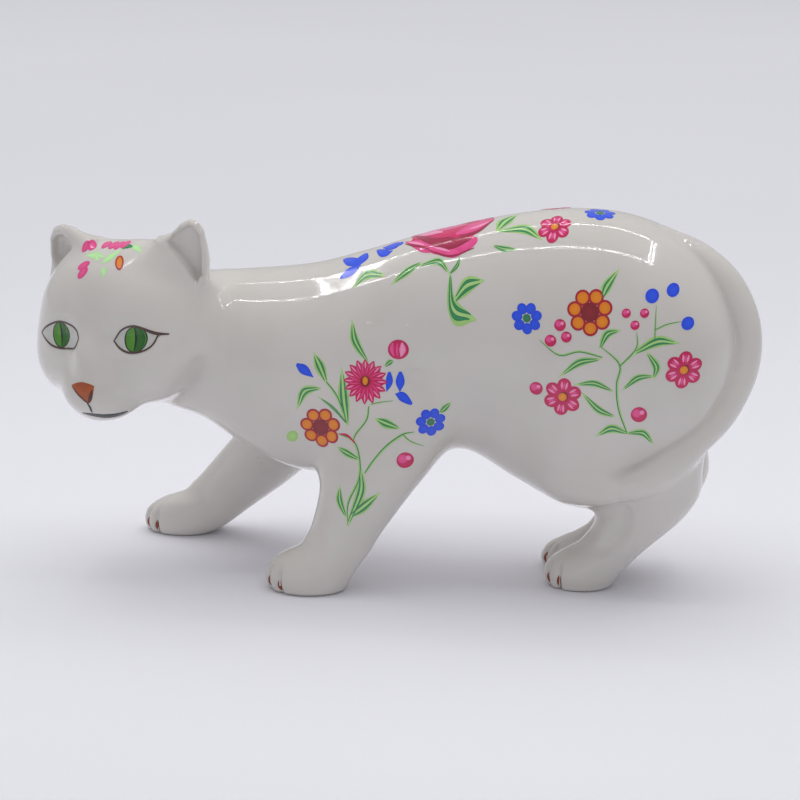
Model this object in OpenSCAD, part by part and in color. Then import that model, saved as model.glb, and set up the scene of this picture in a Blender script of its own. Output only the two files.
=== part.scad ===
// Glazed porcelain figurine of a prowling cat, painted with sprays of flowers.
// The head is towards -X, the tail towards +X and the cat's left side towards -Y.
// The figure stands on z = 0 with its origin in the middle of its footprint.

/* [Figure] */
// Length over everything, cheek to tail (mm)
figure_length = 168; // [152:2:184]

/* [Porcelain] */
// Wall of the hollow body (mm at the standard length)
wall = 3; // [2.5:0.25:3.5]
// Radius of the firing vent under the belly (mm)
vent_r = 1.5; // [1:0.25:2.5]
// Radius of the tail at its middle (mm)
tail_r = 4; // [3.6:0.1:4.4]
// Height of an ear from its root (mm)
ear_height = 17; // [14:0.5:18]
// Width of an ear at its root (mm)
ear_width = 14; // [12:0.5:15]

/* [Enamel] */
// Thickness of the painted enamel (mm)
enamel = 0.3; // [0.2:0.05:0.5]
// Width of an eye from corner to corner (mm)
eye_width = 12; // [10:0.5:13]
// Size of the flowers against their usual size
flower_size = 1; // [0.8:0.05:1.1]
// Width of a painted stem (mm)
stem_w = 1; // [0.8:0.1:1.4]

/* [Smoothness] */
// Points round the body
body_sides = 36; // [28:4:44]
// Rings along the body
body_rings = 30; // [26:2:38]

/* [Hidden] */

size = figure_length / 168;  // the tables below are for the standard length
centre = [0.25, 2.54, 0];    // moves the tables' zero to the middle of the footprint
facet_lift = 0.25;           // facets are set this far out, so that they straddle the smooth skin

porcelain = "whitesmoke";
pink = "mediumvioletred";
orange = "darkorange";
blue = "royalblue";
leafgreen = "mediumseagreen";
brown = "saddlebrown";
ink = "black";
iris = "olivedrab";

// Body: x, top z, bottom z, half width, middle y
BODY = [[-64, 64, 50, 8, -10], [-55, 69.5, 41, 13.5, -6], [-46, 71.5, 36.5, 15.5, -2.5],
    [-38, 71.8, 30.5, 17.5, -0.5],
    [-30, 72.4, 26, 19, 0], [-20, 73.8, 23.7, 19.8, 0], [-8, 77.2, 25.5, 19.5, 0], [4, 81, 29.9, 19, 0],
    [16, 84.2, 30.5, 19.5, 0], [28, 86.8, 23.9, 21.5, 0], [40, 88.1, 17.9, 23.5, 0], [52, 87.2, 18, 24, 0],
    [62, 83.6, 22.2, 22.5, 0], [70, 77, 31, 19, 0], [74.6, 70, 40.5, 14.5, 0], [77.8, 62, 49, 7.5, 0],
    [79.2, 55.5, 54.5, 0.6, 0]];

// Legs: z, front x, back x, half width, middle y; each leg ends inside the body
FORE_L = [[-1, -27.4, -11.6, 5.6, -18.3], [0, -28.4, -10.8, 6.2, -18.3], [2, -29.4, -9.7, 7, -18.3],
    [4, -29.3, -8.6, 7.3, -18.3], [6, -28.4, -7.4, 7.2, -18.3], [8, -26.2, -6, 6.9, -18.2],
    [10, -22.2, -4.6, 6.7, -18], [13, -19.8, -2.9, 6.8, -17.7], [18, -18, 0.5, 7.6, -16.8],
    [24, -16.9, 4.9, 9, -15.3], [30, -16.7, 9.5, 10.4, -13.6], [37, -15.5, 13.2, 11.6, -11.8],
    [44, -13, 14, 11.5, -10], [51, -6, 8, 7, -9], [54, -0.5, 0.5, 0.5, -9]];
FORE_R = [[-1, -65.5, -51.5, 5.2, 19.3], [0, -66.8, -50.2, 5.8, 19.3], [2, -68, -47, 6.6, 19.3],
    [4, -67.7, -44.3, 6.9, 19.3], [6, -66.8, -41.8, 6.8, 19.3], [8, -63.8, -39.2, 6.6, 19.2],
    [10, -58.6, -36.6, 6.5, 19],
    [13, -55.2, -32.7, 6.8, 18.6], [18, -50.8, -26.9, 7.8, 17.6], [24, -45.9, -19.4, 9.2, 16],
    [30, -40.8, -12.4, 10.6, 14],
    [37, -34, -6, 11.6, 12], [44, -28, -5, 11.3, 10.5], [51, -22, -9, 7, 9.5], [54, -16, -15, 0.5, 9.5]];
HIND_L = [[-1, 36.8, 49.6, 5.2, -7], [0, 35.8, 50.6, 5.8, -7], [2, 35, 52, 6.3, -7], [4, 35, 53.4, 6.5, -7],
    [6, 36, 55.2, 6.4, -7], [8, 38.6, 57, 6.1, -7.1], [10, 42, 59, 5.9, -7.2], [13, 44.8, 62.2, 6, -7.5],
    [18, 47.3, 67, 6.8, -8.2], [24, 49.5, 70.5, 8, -9.2], [30, 51, 71, 9, -10], [37, 54, 70, 8, -10],
    [44, 61.5, 62.5, 0.5, -10]];
HIND_R = [[-1, 35, 48.4, 5.2, 6.4], [0, 34, 49.4, 5.8, 6.4], [2, 33.2, 51, 6.3, 6.4],
    [4, 33.8, 52.6, 6.5, 6.4],
    [6, 36.2, 54.6, 6.3, 6.4], [8, 40.4, 56.8, 6, 6.4], [10, 43.6, 59.2, 5.9, 6.5], [13, 46, 63, 6, 6.8],
    [18, 49, 69.3, 6.8, 7.4], [24, 51, 72.4, 7.8, 8.4], [30, 52.5, 72, 8.6, 9], [37, 56, 70, 8, 9],
    [44, 62.5, 63.5, 0.5, 9]];

// Tail: points of its middle line and the radius there, as a share of tail_r
TAIL = [[60, 0, 79, 1.35], [68, -0.3, 76.6, 1.15], [75, -1.6, 71, 1.05], [79, -3.5, 62.5, 1],
    [78.8, -6, 53.5, 1], [74.9, -10.5, 44.8, 0.95], [69.4, -15, 39.2, 0.93], [63.8, -18, 34.6, 0.93],
    [58, -19, 30.5, 0.93], [52, -17.5, 28, 0.88], [46.5, -14.5, 27.2, 0.78]];

// Head: where it sits, how it turns, and the rounded masses that make it up: centre, radii, blend.
// In the head's own axes x is towards the cat's right, y forward and z up.
HEAD = [-62.7, -12, 59];
HEAD_TURN = [-6, 6, 160];
MASSES = [[[0.5, -1.2, 2.4], [21.7, 16, 18.8], 1], [[10.1, 4.8, -5.2], [10.1, 8.8, 8.2], 8],
    [[-8.8, 5, -6], [8.8, 8.5, 7.6], 8], [[0.9, 12.3, -9.8], [8.8, 8.2, 6.3], 5],
    [[0, 10.5, -3.5], [4.2, 8, 7.5], 4], [[0.7, 11, -13.2], [6.4, 6.4, 4.2], 3],
    [[-9.5, -2, 15.7], [6.5, 4.6, 4.4], 5]];
EAR_L = [-16.3, -1.8, 15.4];
EAR_R = [13.4, -1.8, 14.8];

// A smooth curve through column c of table t at s: cubic pieces whose slopes agree where they meet
function gap(t, i) = t[i + 1][0] - t[i][0];
function chord(t, i, c) = (t[i + 1][c] - t[i][c]) / gap(t, i);
function slope(t, i, c) =
    i == 0 ? chord(t, 0, c) :
    i == len(t) - 1 ? chord(t, i - 1, c) :
    (gap(t, i - 1) * chord(t, i, c) + gap(t, i) * chord(t, i - 1, c)) / (gap(t, i - 1) + gap(t, i));
function span(t, s, i = 0) = i >= len(t) - 2 || t[i + 1][0] > s ? i : span(t, s, i + 1);
function curve(t, s, c) =
    let (i = span(t, s), h = gap(t, i), u = (s - t[i][0]) / h)
    (2 * u^3 - 3 * u^2 + 1) * t[i][c] + (u^3 - 2 * u^2 + u) * h * slope(t, i, c)
    + (3 * u^2 - 2 * u^3) * t[i + 1][c] + (u^3 - u^2) * h * slope(t, i + 1, c);

// Sections: position, middle, squared half height, squared ratio of height to width, middle across
function sections(t) =
    [for (r = t) let (h = abs(r[1] - r[2]) / 2) [r[0], (r[1] + r[2]) / 2, h * h, (h / r[3])^2, r[4]]];
BODY_S = sections(BODY);
FORE_L_S = sections(FORE_L);
FORE_R_S = sections(FORE_R);
HIND_L_S = sections(HIND_L);
HIND_R_S = sections(HIND_R);

// A solid skin over rings of the same number of points
module skin(rings) {
    n = len(rings[0]);
    m = len(rings);
    polyhedron(
        points = [for (r = rings) each r],
        faces = concat(
            [[for (j = [0:n - 1]) j]],
            [for (i = [0:m - 2]) for (j = [0:n - 1]) each let (a = i * n + j, b = i * n + (j + 1) % n)
                [[a, a + n, b], [b, a + n, b + n]]],
            [[for (j = [n - 1:-1:0]) (m - 1) * n + j]]));
}

// The half height a section has at s; it closes quickly past either end of its table
function kept(t, s) = max(t[0][0], min(t[len(t) - 1][0], s));
function half(t, s) =
    let (d = abs(s - kept(t, s)))
    sqrt(max(0.01, curve(t, kept(t, s), 2) - 6 * d * (1 + d)));
function ratio(t, s) = sqrt(max(0.04, curve(t, kept(t, s), 3)));
function mid(t, s, c) = curve(t, kept(t, s), c);

// The body's outer skin, g mm proud; rings crowd towards the neck's and the rump's ends
body_start = -66.3;
body_end = 79.1;
function crowded(u) = 0.55 * (0.5 - cos(180 * u) / 2) + 0.45 * u;
module trunk(g = 0) {
    skin([for (i = [0:body_rings]) let (
            x = body_start + (body_end - body_start) * crowded(i / body_rings),
            h = half(BODY_S, x) + g + facet_lift,
            w = half(BODY_S, x) / ratio(BODY_S, x) + g + facet_lift)
        [for (j = [0:body_sides - 1]) let (q = 360 * j / body_sides)
            [x, mid(BODY_S, x, 4) + w * cos(q), mid(BODY_S, x, 1) + h * sin(q)]]]);
}

// The hollow inside the body, from the neck to the rump. Each ring takes its size from a section nearer the
// body's end, so that the wall stays whole where the body closes.
hollow_start = -50;
hollow_end = 75;
hollow_mid = 10;
function outward(x) = hollow_mid + (x - hollow_mid) * (x > hollow_mid ? 69 / 65 : 66 / 60);
module hollow(rings = 18, sides = 20) {
    skin([for (i = [0:rings]) let (
            x = hollow_start + (hollow_end - hollow_start) * (0.5 - cos(180 * i / rings) / 2),
            o = outward(x),
            h = max(0.4, half(BODY_S, o) - wall),
            w = max(0.4, half(BODY_S, o) / ratio(BODY_S, o) - wall))
        [for (j = [0:sides - 1]) let (q = 360 * j / sides)
            [x, mid(BODY_S, x, 4) + w * cos(q), mid(BODY_S, x, 1) + h * sin(q)]]]);
}

// A leg from its flat sole up into the body, g mm proud; rings crowd towards the paw
module leg(t, g = 0, rings = 18, sides = 22) {
    top = t[len(t) - 1][0];
    skin([for (i = [0:rings]) let (
            u = i / rings,
            z = top * (0.35 * u + 0.65 * u * u),
            f = half(t, z) + g + facet_lift,
            w = half(t, z) / ratio(t, z) + g + facet_lift)
        [for (j = [0:sides - 1]) let (q = 360 * j / sides)
            [mid(t, z, 1) + f * cos(q), mid(t, z, 4) + w * sin(q), z]]]);
}

// A point of the tail's middle line, with its radius: u counts the spans between the listed points
function knot(t, i) =
    i < 0 ? 2 * t[0] - t[1] :
    i >= len(t) ? 2 * t[len(t) - 1] - t[len(t) - 2] : t[i];
function along(t, u) =
    let (
        i = max(0, min(len(t) - 2, floor(u))),
        f = u - i,
        a = knot(t, i - 1),
        b = t[i],
        c = t[i + 1],
        d = knot(t, i + 2))
    (2 * b + (c - a) * f + (2 * a - 5 * b + 4 * c - d) * f^2 + (3 * b - a - 3 * c + d) * f^3) / 2;
function dir(v) = v / norm(v);
function only(v) = [v[0], v[1], v[2]];

function tip(i, last) = i == last ? 0.35 : i == last - 1 ? 0.8 : 1;

module tail_rod(rings = 30, sides = 12) {
    n = len(TAIL) - 1;
    skin([for (i = [0:rings]) let (
            u = n * i / rings,
            c = along(TAIL, u),
            t = dir(only(along(TAIL, u + 0.02) - along(TAIL, u - 0.02))),
            a = dir(cross(t, [0, 1, 0])),
            b = cross(t, a),
            r = (tail_r * c[3] + facet_lift) * tip(i, rings))
        [for (j = [0:sides - 1]) let (q = 360 * j / sides) only(c) + r * (cos(q) * a + sin(q) * b)]]);
}

// Distance-like measure of the head's rounded masses, and how far out its skin is in direction d
function egg(p, r) =
    let (k = norm([p.x / r.x, p.y / r.y, p.z / r.z]), l = norm([p.x / r.x^2, p.y / r.y^2, p.z / r.z^2]))
    k * (k - 1) / l;
function blend(a, b, k) = let (h = max(k - abs(a - b), 0) / k) min(a, b) - h * h * k / 4;
function mass(p, i = len(MASSES) - 1) =
    i == 0 ? egg(p - MASSES[0][0], MASSES[0][1]) :
    blend(mass(p, i - 1), egg(p - MASSES[i][0], MASSES[i][1]), MASSES[i][2]);
function reach(d, a = 4, b = 30, n = 12) =
    let (m = (a + b) / 2)
    n == 0 ? m : mass(d * m) > 0 ? reach(d, a, m, n - 1) : reach(d, m, b, n - 1);

// Puts its children from the head's own axes onto the neck
module head_place() {
    translate(HEAD) rotate([0, 0, HEAD_TURN[2]]) rotate([HEAD_TURN[0], 0, 0]) rotate([0, HEAD_TURN[1], 0])
        children();
}

// The head's skin in its own axes, rings round the forward axis from the nape to the muzzle, g mm proud
module skull(g = 0, rings = 22, sides = 30) {
    skin([for (i = [0:rings]) let (e = 177 - 174 * i / rings)
        [for (j = [0:sides - 1])
            let (q = 360 * j / sides, d = [sin(e) * sin(q), cos(e), sin(e) * cos(q)])
            d * (reach(d) + g + facet_lift)]]);
}

// Half axes of an ear at height z from its root: a broad cup with a narrower tip
function bulge(z, middle, rise) = sqrt(max(0, 1 - ((z - middle) / rise)^2));
function ear_half_width(z) = max(7.4 * bulge(z, 0, 9), 4.9 * bulge(z, 5, 5.62), 0.35);
function ear_half_depth(z) = max(3.6 * bulge(z, 0, 9), 2.4 * bulge(z, 5, 5.62), 0.3);
function cup_depth(z) = 0.95 * max(0, 1 - max(0, z / 10.2)^4) * max(0, min(1, (z + 6.5) / 3));

// An ear in the head's axes, side s: 1 for the cat's right
module ear(root, s, rings = 12, sides = 24) {
    wide = ear_width / 14;
    tall = ear_height / 17;
    translate(root) rotate([0, 0, -15 * s]) rotate([-2, 0, 0]) rotate([0, 10 * s, 0])
        skin([for (i = [0:rings]) let (
                z = -6.5 + 17 * (1 - (1 - i / rings)^1.6),
                w = ear_half_width(z),
                t = ear_half_depth(z))
            [for (j = [0:sides - 1]) let (
                q = 360 * j / sides,
                dip = t * cup_depth(z) * max(0, 1 - (cos(q) / 0.72)^2))
                [w * cos(q) * wide, t * sin(q) - (sin(q) > 0 ? dip : 0), z * tall]]]);
}

// Skin-deep enamel: an outline drawn flat is carried onto the porcelain and cut out of a thin shell over it
module side_coat(s) {
    intersection() {
        translate([0, s < 0 ? -6 : 36, 0]) rotate([90, 0, 0]) linear_extrude(height = 30) children();
        difference() {
            union() {
                trunk(enamel);
                leg(s < 0 ? FORE_L_S : FORE_R_S, enamel);
            }
            trunk();
            leg(s < 0 ? FORE_L_S : FORE_R_S);
        }
    }
}
module back_coat() {
    intersection() {
        translate([0, 0, 58]) linear_extrude(height = 34) children();
        difference() {
            trunk(enamel);
            trunk();
        }
    }
}
module face_coat() {
    head_place() intersection() {
        translate([0, 26, 0]) rotate([90, 0, 0]) linear_extrude(height = 22) children();
        difference() {
            skull(enamel);
            skull();
        }
    }
}
module crown_coat() {
    head_place() intersection() {
        translate([0, 0, 8]) linear_extrude(height = 18) children();
        difference() {
            skull(enamel);
            skull();
        }
    }
}
// Claw strokes in the gaps between the toes of a leg whose toes reach x, at bearings round the paw's middle
claw_bearings = [56, 25, -6, -38];
module claw_coat(t, x, y, half_w) {
    intersection() {
        for (a = claw_bearings)
            translate([x + 1.1 * half_w, y, 0]) rotate([0, 0, a]) rotate([90, 0, -90])
                linear_extrude(height = 10) stroke([[0, 0.7], [0, 1.8], [0.1, 2.9], [0, 3.9]], 0.9);
        difference() {
            leg(t, enamel);
            leg(t);
        }
    }
}

// Drawn shapes
module stroke(points, w = stem_w) {
    for (i = [0:len(points) - 2]) hull() {
        translate(points[i]) circle(d = w, $fn = 6);
        translate(points[i + 1]) circle(d = w, $fn = 6);
    }
}
module leaf(a, b, w = 2.6) {
    c = (a + b) / 2;
    n = dir([a.y - b.y, b.x - a.x]) * w / 2;
    hull() {
        translate(a) circle(d = 0.6, $fn = 6);
        translate(b) circle(d = 0.4, $fn = 6);
        polygon([c + n * 0.9 + (b - a) * 0.12, c + n - (b - a) * 0.08,
            c - n - (b - a) * 0.08, c - n * 0.9 + (b - a) * 0.12]);
    }
}
module flower(c, r, n) {
    translate(c) scale(flower_size) {
        circle(r = 0.55 * r, $fn = 8);
        for (k = [0:n - 1])
            rotate(360 * k / n + 12) translate([0.66 * r, 0]) scale([1, 0.86]) circle(r = 0.38 * r, $fn = 8);
    }
}
module bud(c, r) { translate(c) scale(flower_size) circle(r = r, $fn = 8); }
module eye(c, w, up) {
    translate(c) rotate(up) hull() {
        intersection() {
            translate([0, -w * 0.16]) circle(r = w * 0.43, $fn = 32);
            translate([0, w * 0.16]) circle(r = w * 0.43, $fn = 32);
        }
        translate([w * 0.46, w * 0.05]) circle(d = 0.5, $fn = 8);
    }
}

module nose_leather() {
    hull()
        for (p = [[2.3, -6.8], [-0.3, -5.9], [-2.9, -6.8], [-0.6, -10.4]])
            translate(p) circle(d = 0.8, $fn = 8);
}
module lips() {
    stroke([[-0.6, -10.4], [-0.5, -13.6]], 0.8);
    stroke([[4.6, -12.2], [2.4, -13.6], [-0.5, -13.8], [-3.4, -13.4], [-5.8, -12]], 0.8);
}

// The spray on a shoulder, drawn in x and z. The right shoulder's is shifted along with its foreleg.
right_shoulder_shift = [-22, 0];
right_hip_shift = [-1, 0];
module shoulder_pink() {
    flower([-5.1, 50.8], 4.5, 14);
    bud([1.7, 58.4], 2.3);
    bud([3.2, 33.7], 1.2);
}
module shoulder_orange() { flower([-16.2, 39.5], 4.6, 8); }
module shoulder_blue() {
    flower([9.4, 42.1], 3.5, 8);
    for (b = [[-19.9, 53, 1.5], [-0.1, 51.3, 1.2], [2.7, 51.6, 1.6], [3.3, 47.4, 1.7]])
        bud([b[0], b[1]], b[2]);
}
module shoulder_leaves() {
    difference() {
        union() {
            leaf([-14.6, 50.4], [-19.1, 57.5]);
            leaf([-16.2, 49], [-21.4, 43.7]);
            leaf([-9.3, 41], [-10.9, 53.1], 3.2);
            leaf([-4.9, 56.1], [-9, 64.2]);
            leaf([-1.6, 42.9], [1.7, 41]);
            leaf([11.3, 43.8], [13.9, 47]);
            leaf([-11.2, 35.8], [-6.3, 33.3]);
            bud([-23.1, 36.8], 1);
            leaf([-9.2, 19], [-11.3, 26.8], 2.4);
            leaf([-9.2, 19], [-2, 26.1], 2.8);
            stroke([[-11.3, 38.5], [-7.8, 37.5], [-6.3, 33.8], [-6.9, 28], [-9.2, 23.3], [-9.2, 19]]);
            stroke([[-5.1, 46], [-5.3, 43.1], [-1.6, 42.9]]);
            stroke([[-6.3, 31], [-2.5, 33.9], [3.7, 39.4], [6.1, 40]]);
            stroke([[3.7, 39.4], [8.1, 36.5]]);
        }
        shoulder_pink();
        shoulder_orange();
        shoulder_blue();
    }
}
// The spray on a hip, drawn in x and z
module hip_pink() {
    flower([65.9, 56.3], 4, 6);
    flower([39.6, 50.2], 4.2, 6);
    for (b = [[33.3, 51.6, 1.5], [56.3, 46.4, 1.9], [38.3, 66.2, 1.4], [36.4, 62.7, 1.4], [39.9, 63.3, 1.3],
        [53.1, 69.1, 1.1], [57, 69.2, 1.1], [55, 66.6, 1.1]]) bud([b[0], b[1]], b[2]);
}
module hip_orange() { flower([45, 68.9], 5.2, 7); }
module hip_blue() {
    flower([31.1, 66.9], 3.6, 7);
    for (b = [[58.6, 72.4, 1.6], [62.9, 73.3, 1.5], [66.3, 66.4, 1.5]]) bud([b[0], b[1]], b[2]);
}
module hip_leaves() {
    difference() {
        union() {
            leaf([47.1, 71.7], [51, 77.8], 3);
            leaf([47.3, 61.3], [52, 65.7], 2.4);
            leaf([55, 60.3], [65, 62.7], 3.4);
            leaf([57.9, 60.6], [59.6, 54.4], 2.4);
            leaf([53.1, 52.5], [60, 55.4], 2.2);
            leaf([38.6, 54.3], [47.6, 58.9], 2.6);
            leaf([42, 53.2], [50.7, 51.8], 2.4);
            leaf([43.6, 51.4], [51.2, 45.9], 2.6);
            leaf([53.8, 42.2], [46.8, 41.2], 3);
            leaf([53.8, 42.2], [60.2, 38.9], 2.6);
            stroke([[53.8, 42.2], [52.1, 49], [51.5, 53.6], [52, 58.1], [47.5, 62.1]]);
            stroke([[51.9, 57.5], [55.6, 61.4], [55.3, 65.3]]);
            stroke([[59.4, 63], [59.4, 65.3], [59.6, 70.5]]);
            stroke([[59.4, 65.3], [65, 67]]);
            stroke([[48, 59.3], [38.3, 59.5], [34, 62.3]], 0.8);
        }
        hip_pink();
        hip_orange();
        hip_blue();
    }
}
// The spray over the spine, drawn in x and y
rose_middle = [11.5, -4.6];
module back_pink() {
    translate(rose_middle) circle(r = 6, $fn = 12);
    for (k = [0:6])
        translate(rose_middle) rotate(51 * k) translate([5.6, 0]) scale([1, 0.9]) circle(r = 3.4, $fn = 12);
    flower([35.8, -8.5], 3.7, 6);
    flower([30, 8], 3.7, 6);
}
module back_blue() {
    flower([45.8, -2.6], 3.6, 7);
    flower([-2.1, -3.6], 3.2, 6);
    flower([-10, -7.1], 2.8, 3);
    flower([8, 13], 3.2, 7);
}
module back_green() {
    difference() {
        union() {
            leaf([-2.6, -11.4], [-6.8, -12.4]);
            leaf([5.6, -11.2], [1.4, -13.5]);
            leaf([22.4, -6.2], [27.5, -1.8]);
            leaf([22, -5], [33.2, -11.2], 2.8);
            leaf([21, -7], [26.4, -12]);
            leaf([14.4, -15.2], [20.7, -16.3]);
            leaf([16, 4], [24, 9], 3);
            leaf([8, 6], [2, 10]);
            stroke([[4.8, -11], [9, -12], [12.8, -14], [13.6, -16.2], [15.3, -17.6], [18.4, -18.6]]);
            stroke([[18, 3], [24, 5], [29, 8]]);
            stroke([[10, 3], [9, 8], [8, 12]]);
        }
        back_pink();
        back_blue();
    }
}
// The sprig on the crown, drawn in the head's x and y
module crown_pink() {
    leaf([6.8, 0.6], [4.4, -0.6], 2);
    leaf([1, 0.8], [-4.2, -0.8], 2.4);
    leaf([3.2, 5.8], [1.8, 9.8], 2.4);
}
module crown_orange() { leaf([-7.4, 4.2], [-5.4, 7], 2); }
module crown_leaves() {
    difference() {
        union() {
            leaf([3, 3.2], [0.4, 5.8], 1.8);
            leaf([-1.2, 4.4], [-3.4, 6.8], 2);
            leaf([-3.4, 7.6], [-3.8, 10.4], 1.6);
            leaf([-5, 1.4], [-9.8, 2.8], 2);
            stroke([[3, 2.4], [-1, 2.8], [-5, 1.6]], 0.8);
        }
        crown_pink();
        crown_orange();
    }
}

// The standard figure's tables carried to the chosen length and to the middle of the footprint
module placed() {
    scale(size) translate(centre) children();
}

module body() {
    color(porcelain) placed() difference() {
        trunk();
        hollow();
        translate([18, 0, 20]) cylinder(r = vent_r, h = 16, $fn = 24);
    }
}
module head() { color(porcelain) placed() difference() { head_place() skull(); trunk(); } }
module left_ear() { color(porcelain) placed() head_place() difference() { ear(EAR_L, -1); skull(); } }
module right_ear() { color(porcelain) placed() head_place() difference() { ear(EAR_R, 1); skull(); } }
module front_left_leg() { color(porcelain) placed() difference() { leg(FORE_L_S); trunk(); } }
module front_right_leg() { color(porcelain) placed() difference() { leg(FORE_R_S); trunk(); } }
module hind_left_leg() { color(porcelain) placed() difference() { leg(HIND_L_S); trunk(); } }
module hind_right_leg() { color(porcelain) placed() difference() { leg(HIND_R_S); trunk(); } }
module tail() { color(porcelain) placed() difference() { tail_rod(); trunk(); leg(HIND_L_S); } }

module left_eye() { color(iris) placed() face_coat() eye([-12.3, 2.4], eye_width, 180) ; }
module right_eye() { color(iris) placed() face_coat() eye([8.4, 3.2], eye_width, 0); }
module nose() {
    color(brown) placed() face_coat() nose_leather();
}
module mouth() {
    color(ink) placed() face_coat() lips();
}
module front_left_claws() { color(brown) placed() claw_coat(FORE_L_S, -29.4, -18.3, 7.2); }
module front_right_claws() { color(brown) placed() claw_coat(FORE_R_S, -68, 19.3, 6.8); }
module hind_left_claws() { color(brown) placed() claw_coat(HIND_L_S, 35, -7, 6.4); }
module hind_right_claws() { color(brown) placed() claw_coat(HIND_R_S, 33.2, 6.4, 6.4); }
module left_shoulder_leaves() { color(leafgreen) placed() side_coat(-1) shoulder_leaves(); }
module left_shoulder_pink_flowers() { color(pink) placed() side_coat(-1) shoulder_pink(); }
module left_shoulder_orange_flower() { color(orange) placed() side_coat(-1) shoulder_orange(); }
module left_shoulder_blue_flowers() { color(blue) placed() side_coat(-1) shoulder_blue(); }
module left_hip_leaves() { color(leafgreen) placed() side_coat(-1) hip_leaves(); }
module left_hip_pink_flowers() { color(pink) placed() side_coat(-1) hip_pink(); }
module left_hip_orange_flower() { color(orange) placed() side_coat(-1) hip_orange(); }
module left_hip_blue_flowers() { color(blue) placed() side_coat(-1) hip_blue(); }
module right_shoulder_leaves() {
    color(leafgreen) placed() side_coat(1) translate(right_shoulder_shift) shoulder_leaves();
}
module right_shoulder_pink_flowers() {
    color(pink) placed() side_coat(1) translate(right_shoulder_shift) shoulder_pink();
}
module right_shoulder_orange_flower() {
    color(orange) placed() side_coat(1) translate(right_shoulder_shift) shoulder_orange();
}
module right_shoulder_blue_flowers() {
    color(blue) placed() side_coat(1) translate(right_shoulder_shift) shoulder_blue();
}
module right_hip_leaves() { color(leafgreen) placed() side_coat(1) translate(right_hip_shift) hip_leaves(); }
module right_hip_pink_flowers() { color(pink) placed() side_coat(1) translate(right_hip_shift) hip_pink(); }
module right_hip_orange_flower() {
    color(orange) placed() side_coat(1) translate(right_hip_shift) hip_orange();
}
module right_hip_blue_flowers() { color(blue) placed() side_coat(1) translate(right_hip_shift) hip_blue(); }
module back_leaves() { color(leafgreen) placed() back_coat() back_green(); }
module back_rose() { color(pink) placed() back_coat() back_pink(); }
module back_blue_flowers() { color(blue) placed() back_coat() back_blue(); }
module forehead_leaves() { color(leafgreen) placed() crown_coat() crown_leaves(); }
module forehead_petals() { color(pink) placed() crown_coat() crown_pink(); }
module forehead_bud() { color(orange) placed() crown_coat() crown_orange(); }

body();
head();
left_ear();
right_ear();
front_left_leg();
front_right_leg();
hind_left_leg();
hind_right_leg();
tail();
left_eye();
right_eye();
nose();
mouth();
front_left_claws();
front_right_claws();
hind_left_claws();
hind_right_claws();
left_shoulder_leaves();
left_shoulder_pink_flowers();
left_shoulder_orange_flower();
left_shoulder_blue_flowers();
left_hip_leaves();
left_hip_pink_flowers();
left_hip_orange_flower();
left_hip_blue_flowers();
right_shoulder_leaves();
right_shoulder_pink_flowers();
right_shoulder_orange_flower();
right_shoulder_blue_flowers();
right_hip_leaves();
right_hip_pink_flowers();
right_hip_orange_flower();
right_hip_blue_flowers();
back_leaves();
back_rose();
back_blue_flowers();
forehead_leaves();
forehead_petals();
forehead_bud();
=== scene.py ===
import math
import bpy
import numpy as np
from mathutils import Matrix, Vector


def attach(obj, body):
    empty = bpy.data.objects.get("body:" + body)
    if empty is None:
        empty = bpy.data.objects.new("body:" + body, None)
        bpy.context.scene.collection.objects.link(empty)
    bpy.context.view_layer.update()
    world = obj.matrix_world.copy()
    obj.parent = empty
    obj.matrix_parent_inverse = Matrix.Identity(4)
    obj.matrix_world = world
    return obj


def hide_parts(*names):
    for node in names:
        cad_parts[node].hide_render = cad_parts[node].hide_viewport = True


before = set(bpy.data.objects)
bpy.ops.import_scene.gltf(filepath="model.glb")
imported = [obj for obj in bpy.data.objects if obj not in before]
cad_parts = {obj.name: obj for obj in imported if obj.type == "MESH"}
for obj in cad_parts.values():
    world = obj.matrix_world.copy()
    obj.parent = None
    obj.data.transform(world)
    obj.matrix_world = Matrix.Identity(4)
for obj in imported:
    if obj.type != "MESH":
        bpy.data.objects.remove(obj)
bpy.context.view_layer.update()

# All tables are in millimetres. Their zero sits under the belly; CENTRE moves it to the footprint's middle.
MM = 0.001
CENTRE = np.array((0.25, 2.54, 0))
CELL = 0.6

# ---------------------------------------------------------------- shape tables
# Body: x, top z, bottom z, half width, middle y
TRUNK = [(-64, 64, 50, 8, -10), (-55, 69.5, 41, 13.5, -6), (-46, 71.5, 36.5, 15.5, -2.5),
         (-38, 71.8, 30.5, 17.5, -0.5), (-30, 72.4, 26, 19, 0), (-20, 73.8, 23.7, 19.8, 0),
         (-8, 77.2, 25.5, 19.5, 0), (4, 81, 29.9, 19, 0), (16, 84.2, 30.5, 19.5, 0), (28, 86.8, 23.9, 21.5, 0),
         (40, 88.1, 17.9, 23.5, 0), (52, 87.2, 18, 24, 0), (62, 83.6, 22.2, 22.5, 0), (70, 77, 31, 19, 0),
         (74.6, 70, 40.5, 14.5, 0), (77.8, 62, 49, 7.5, 0), (79.2, 55.5, 54.5, 0.6, 0)]
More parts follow.
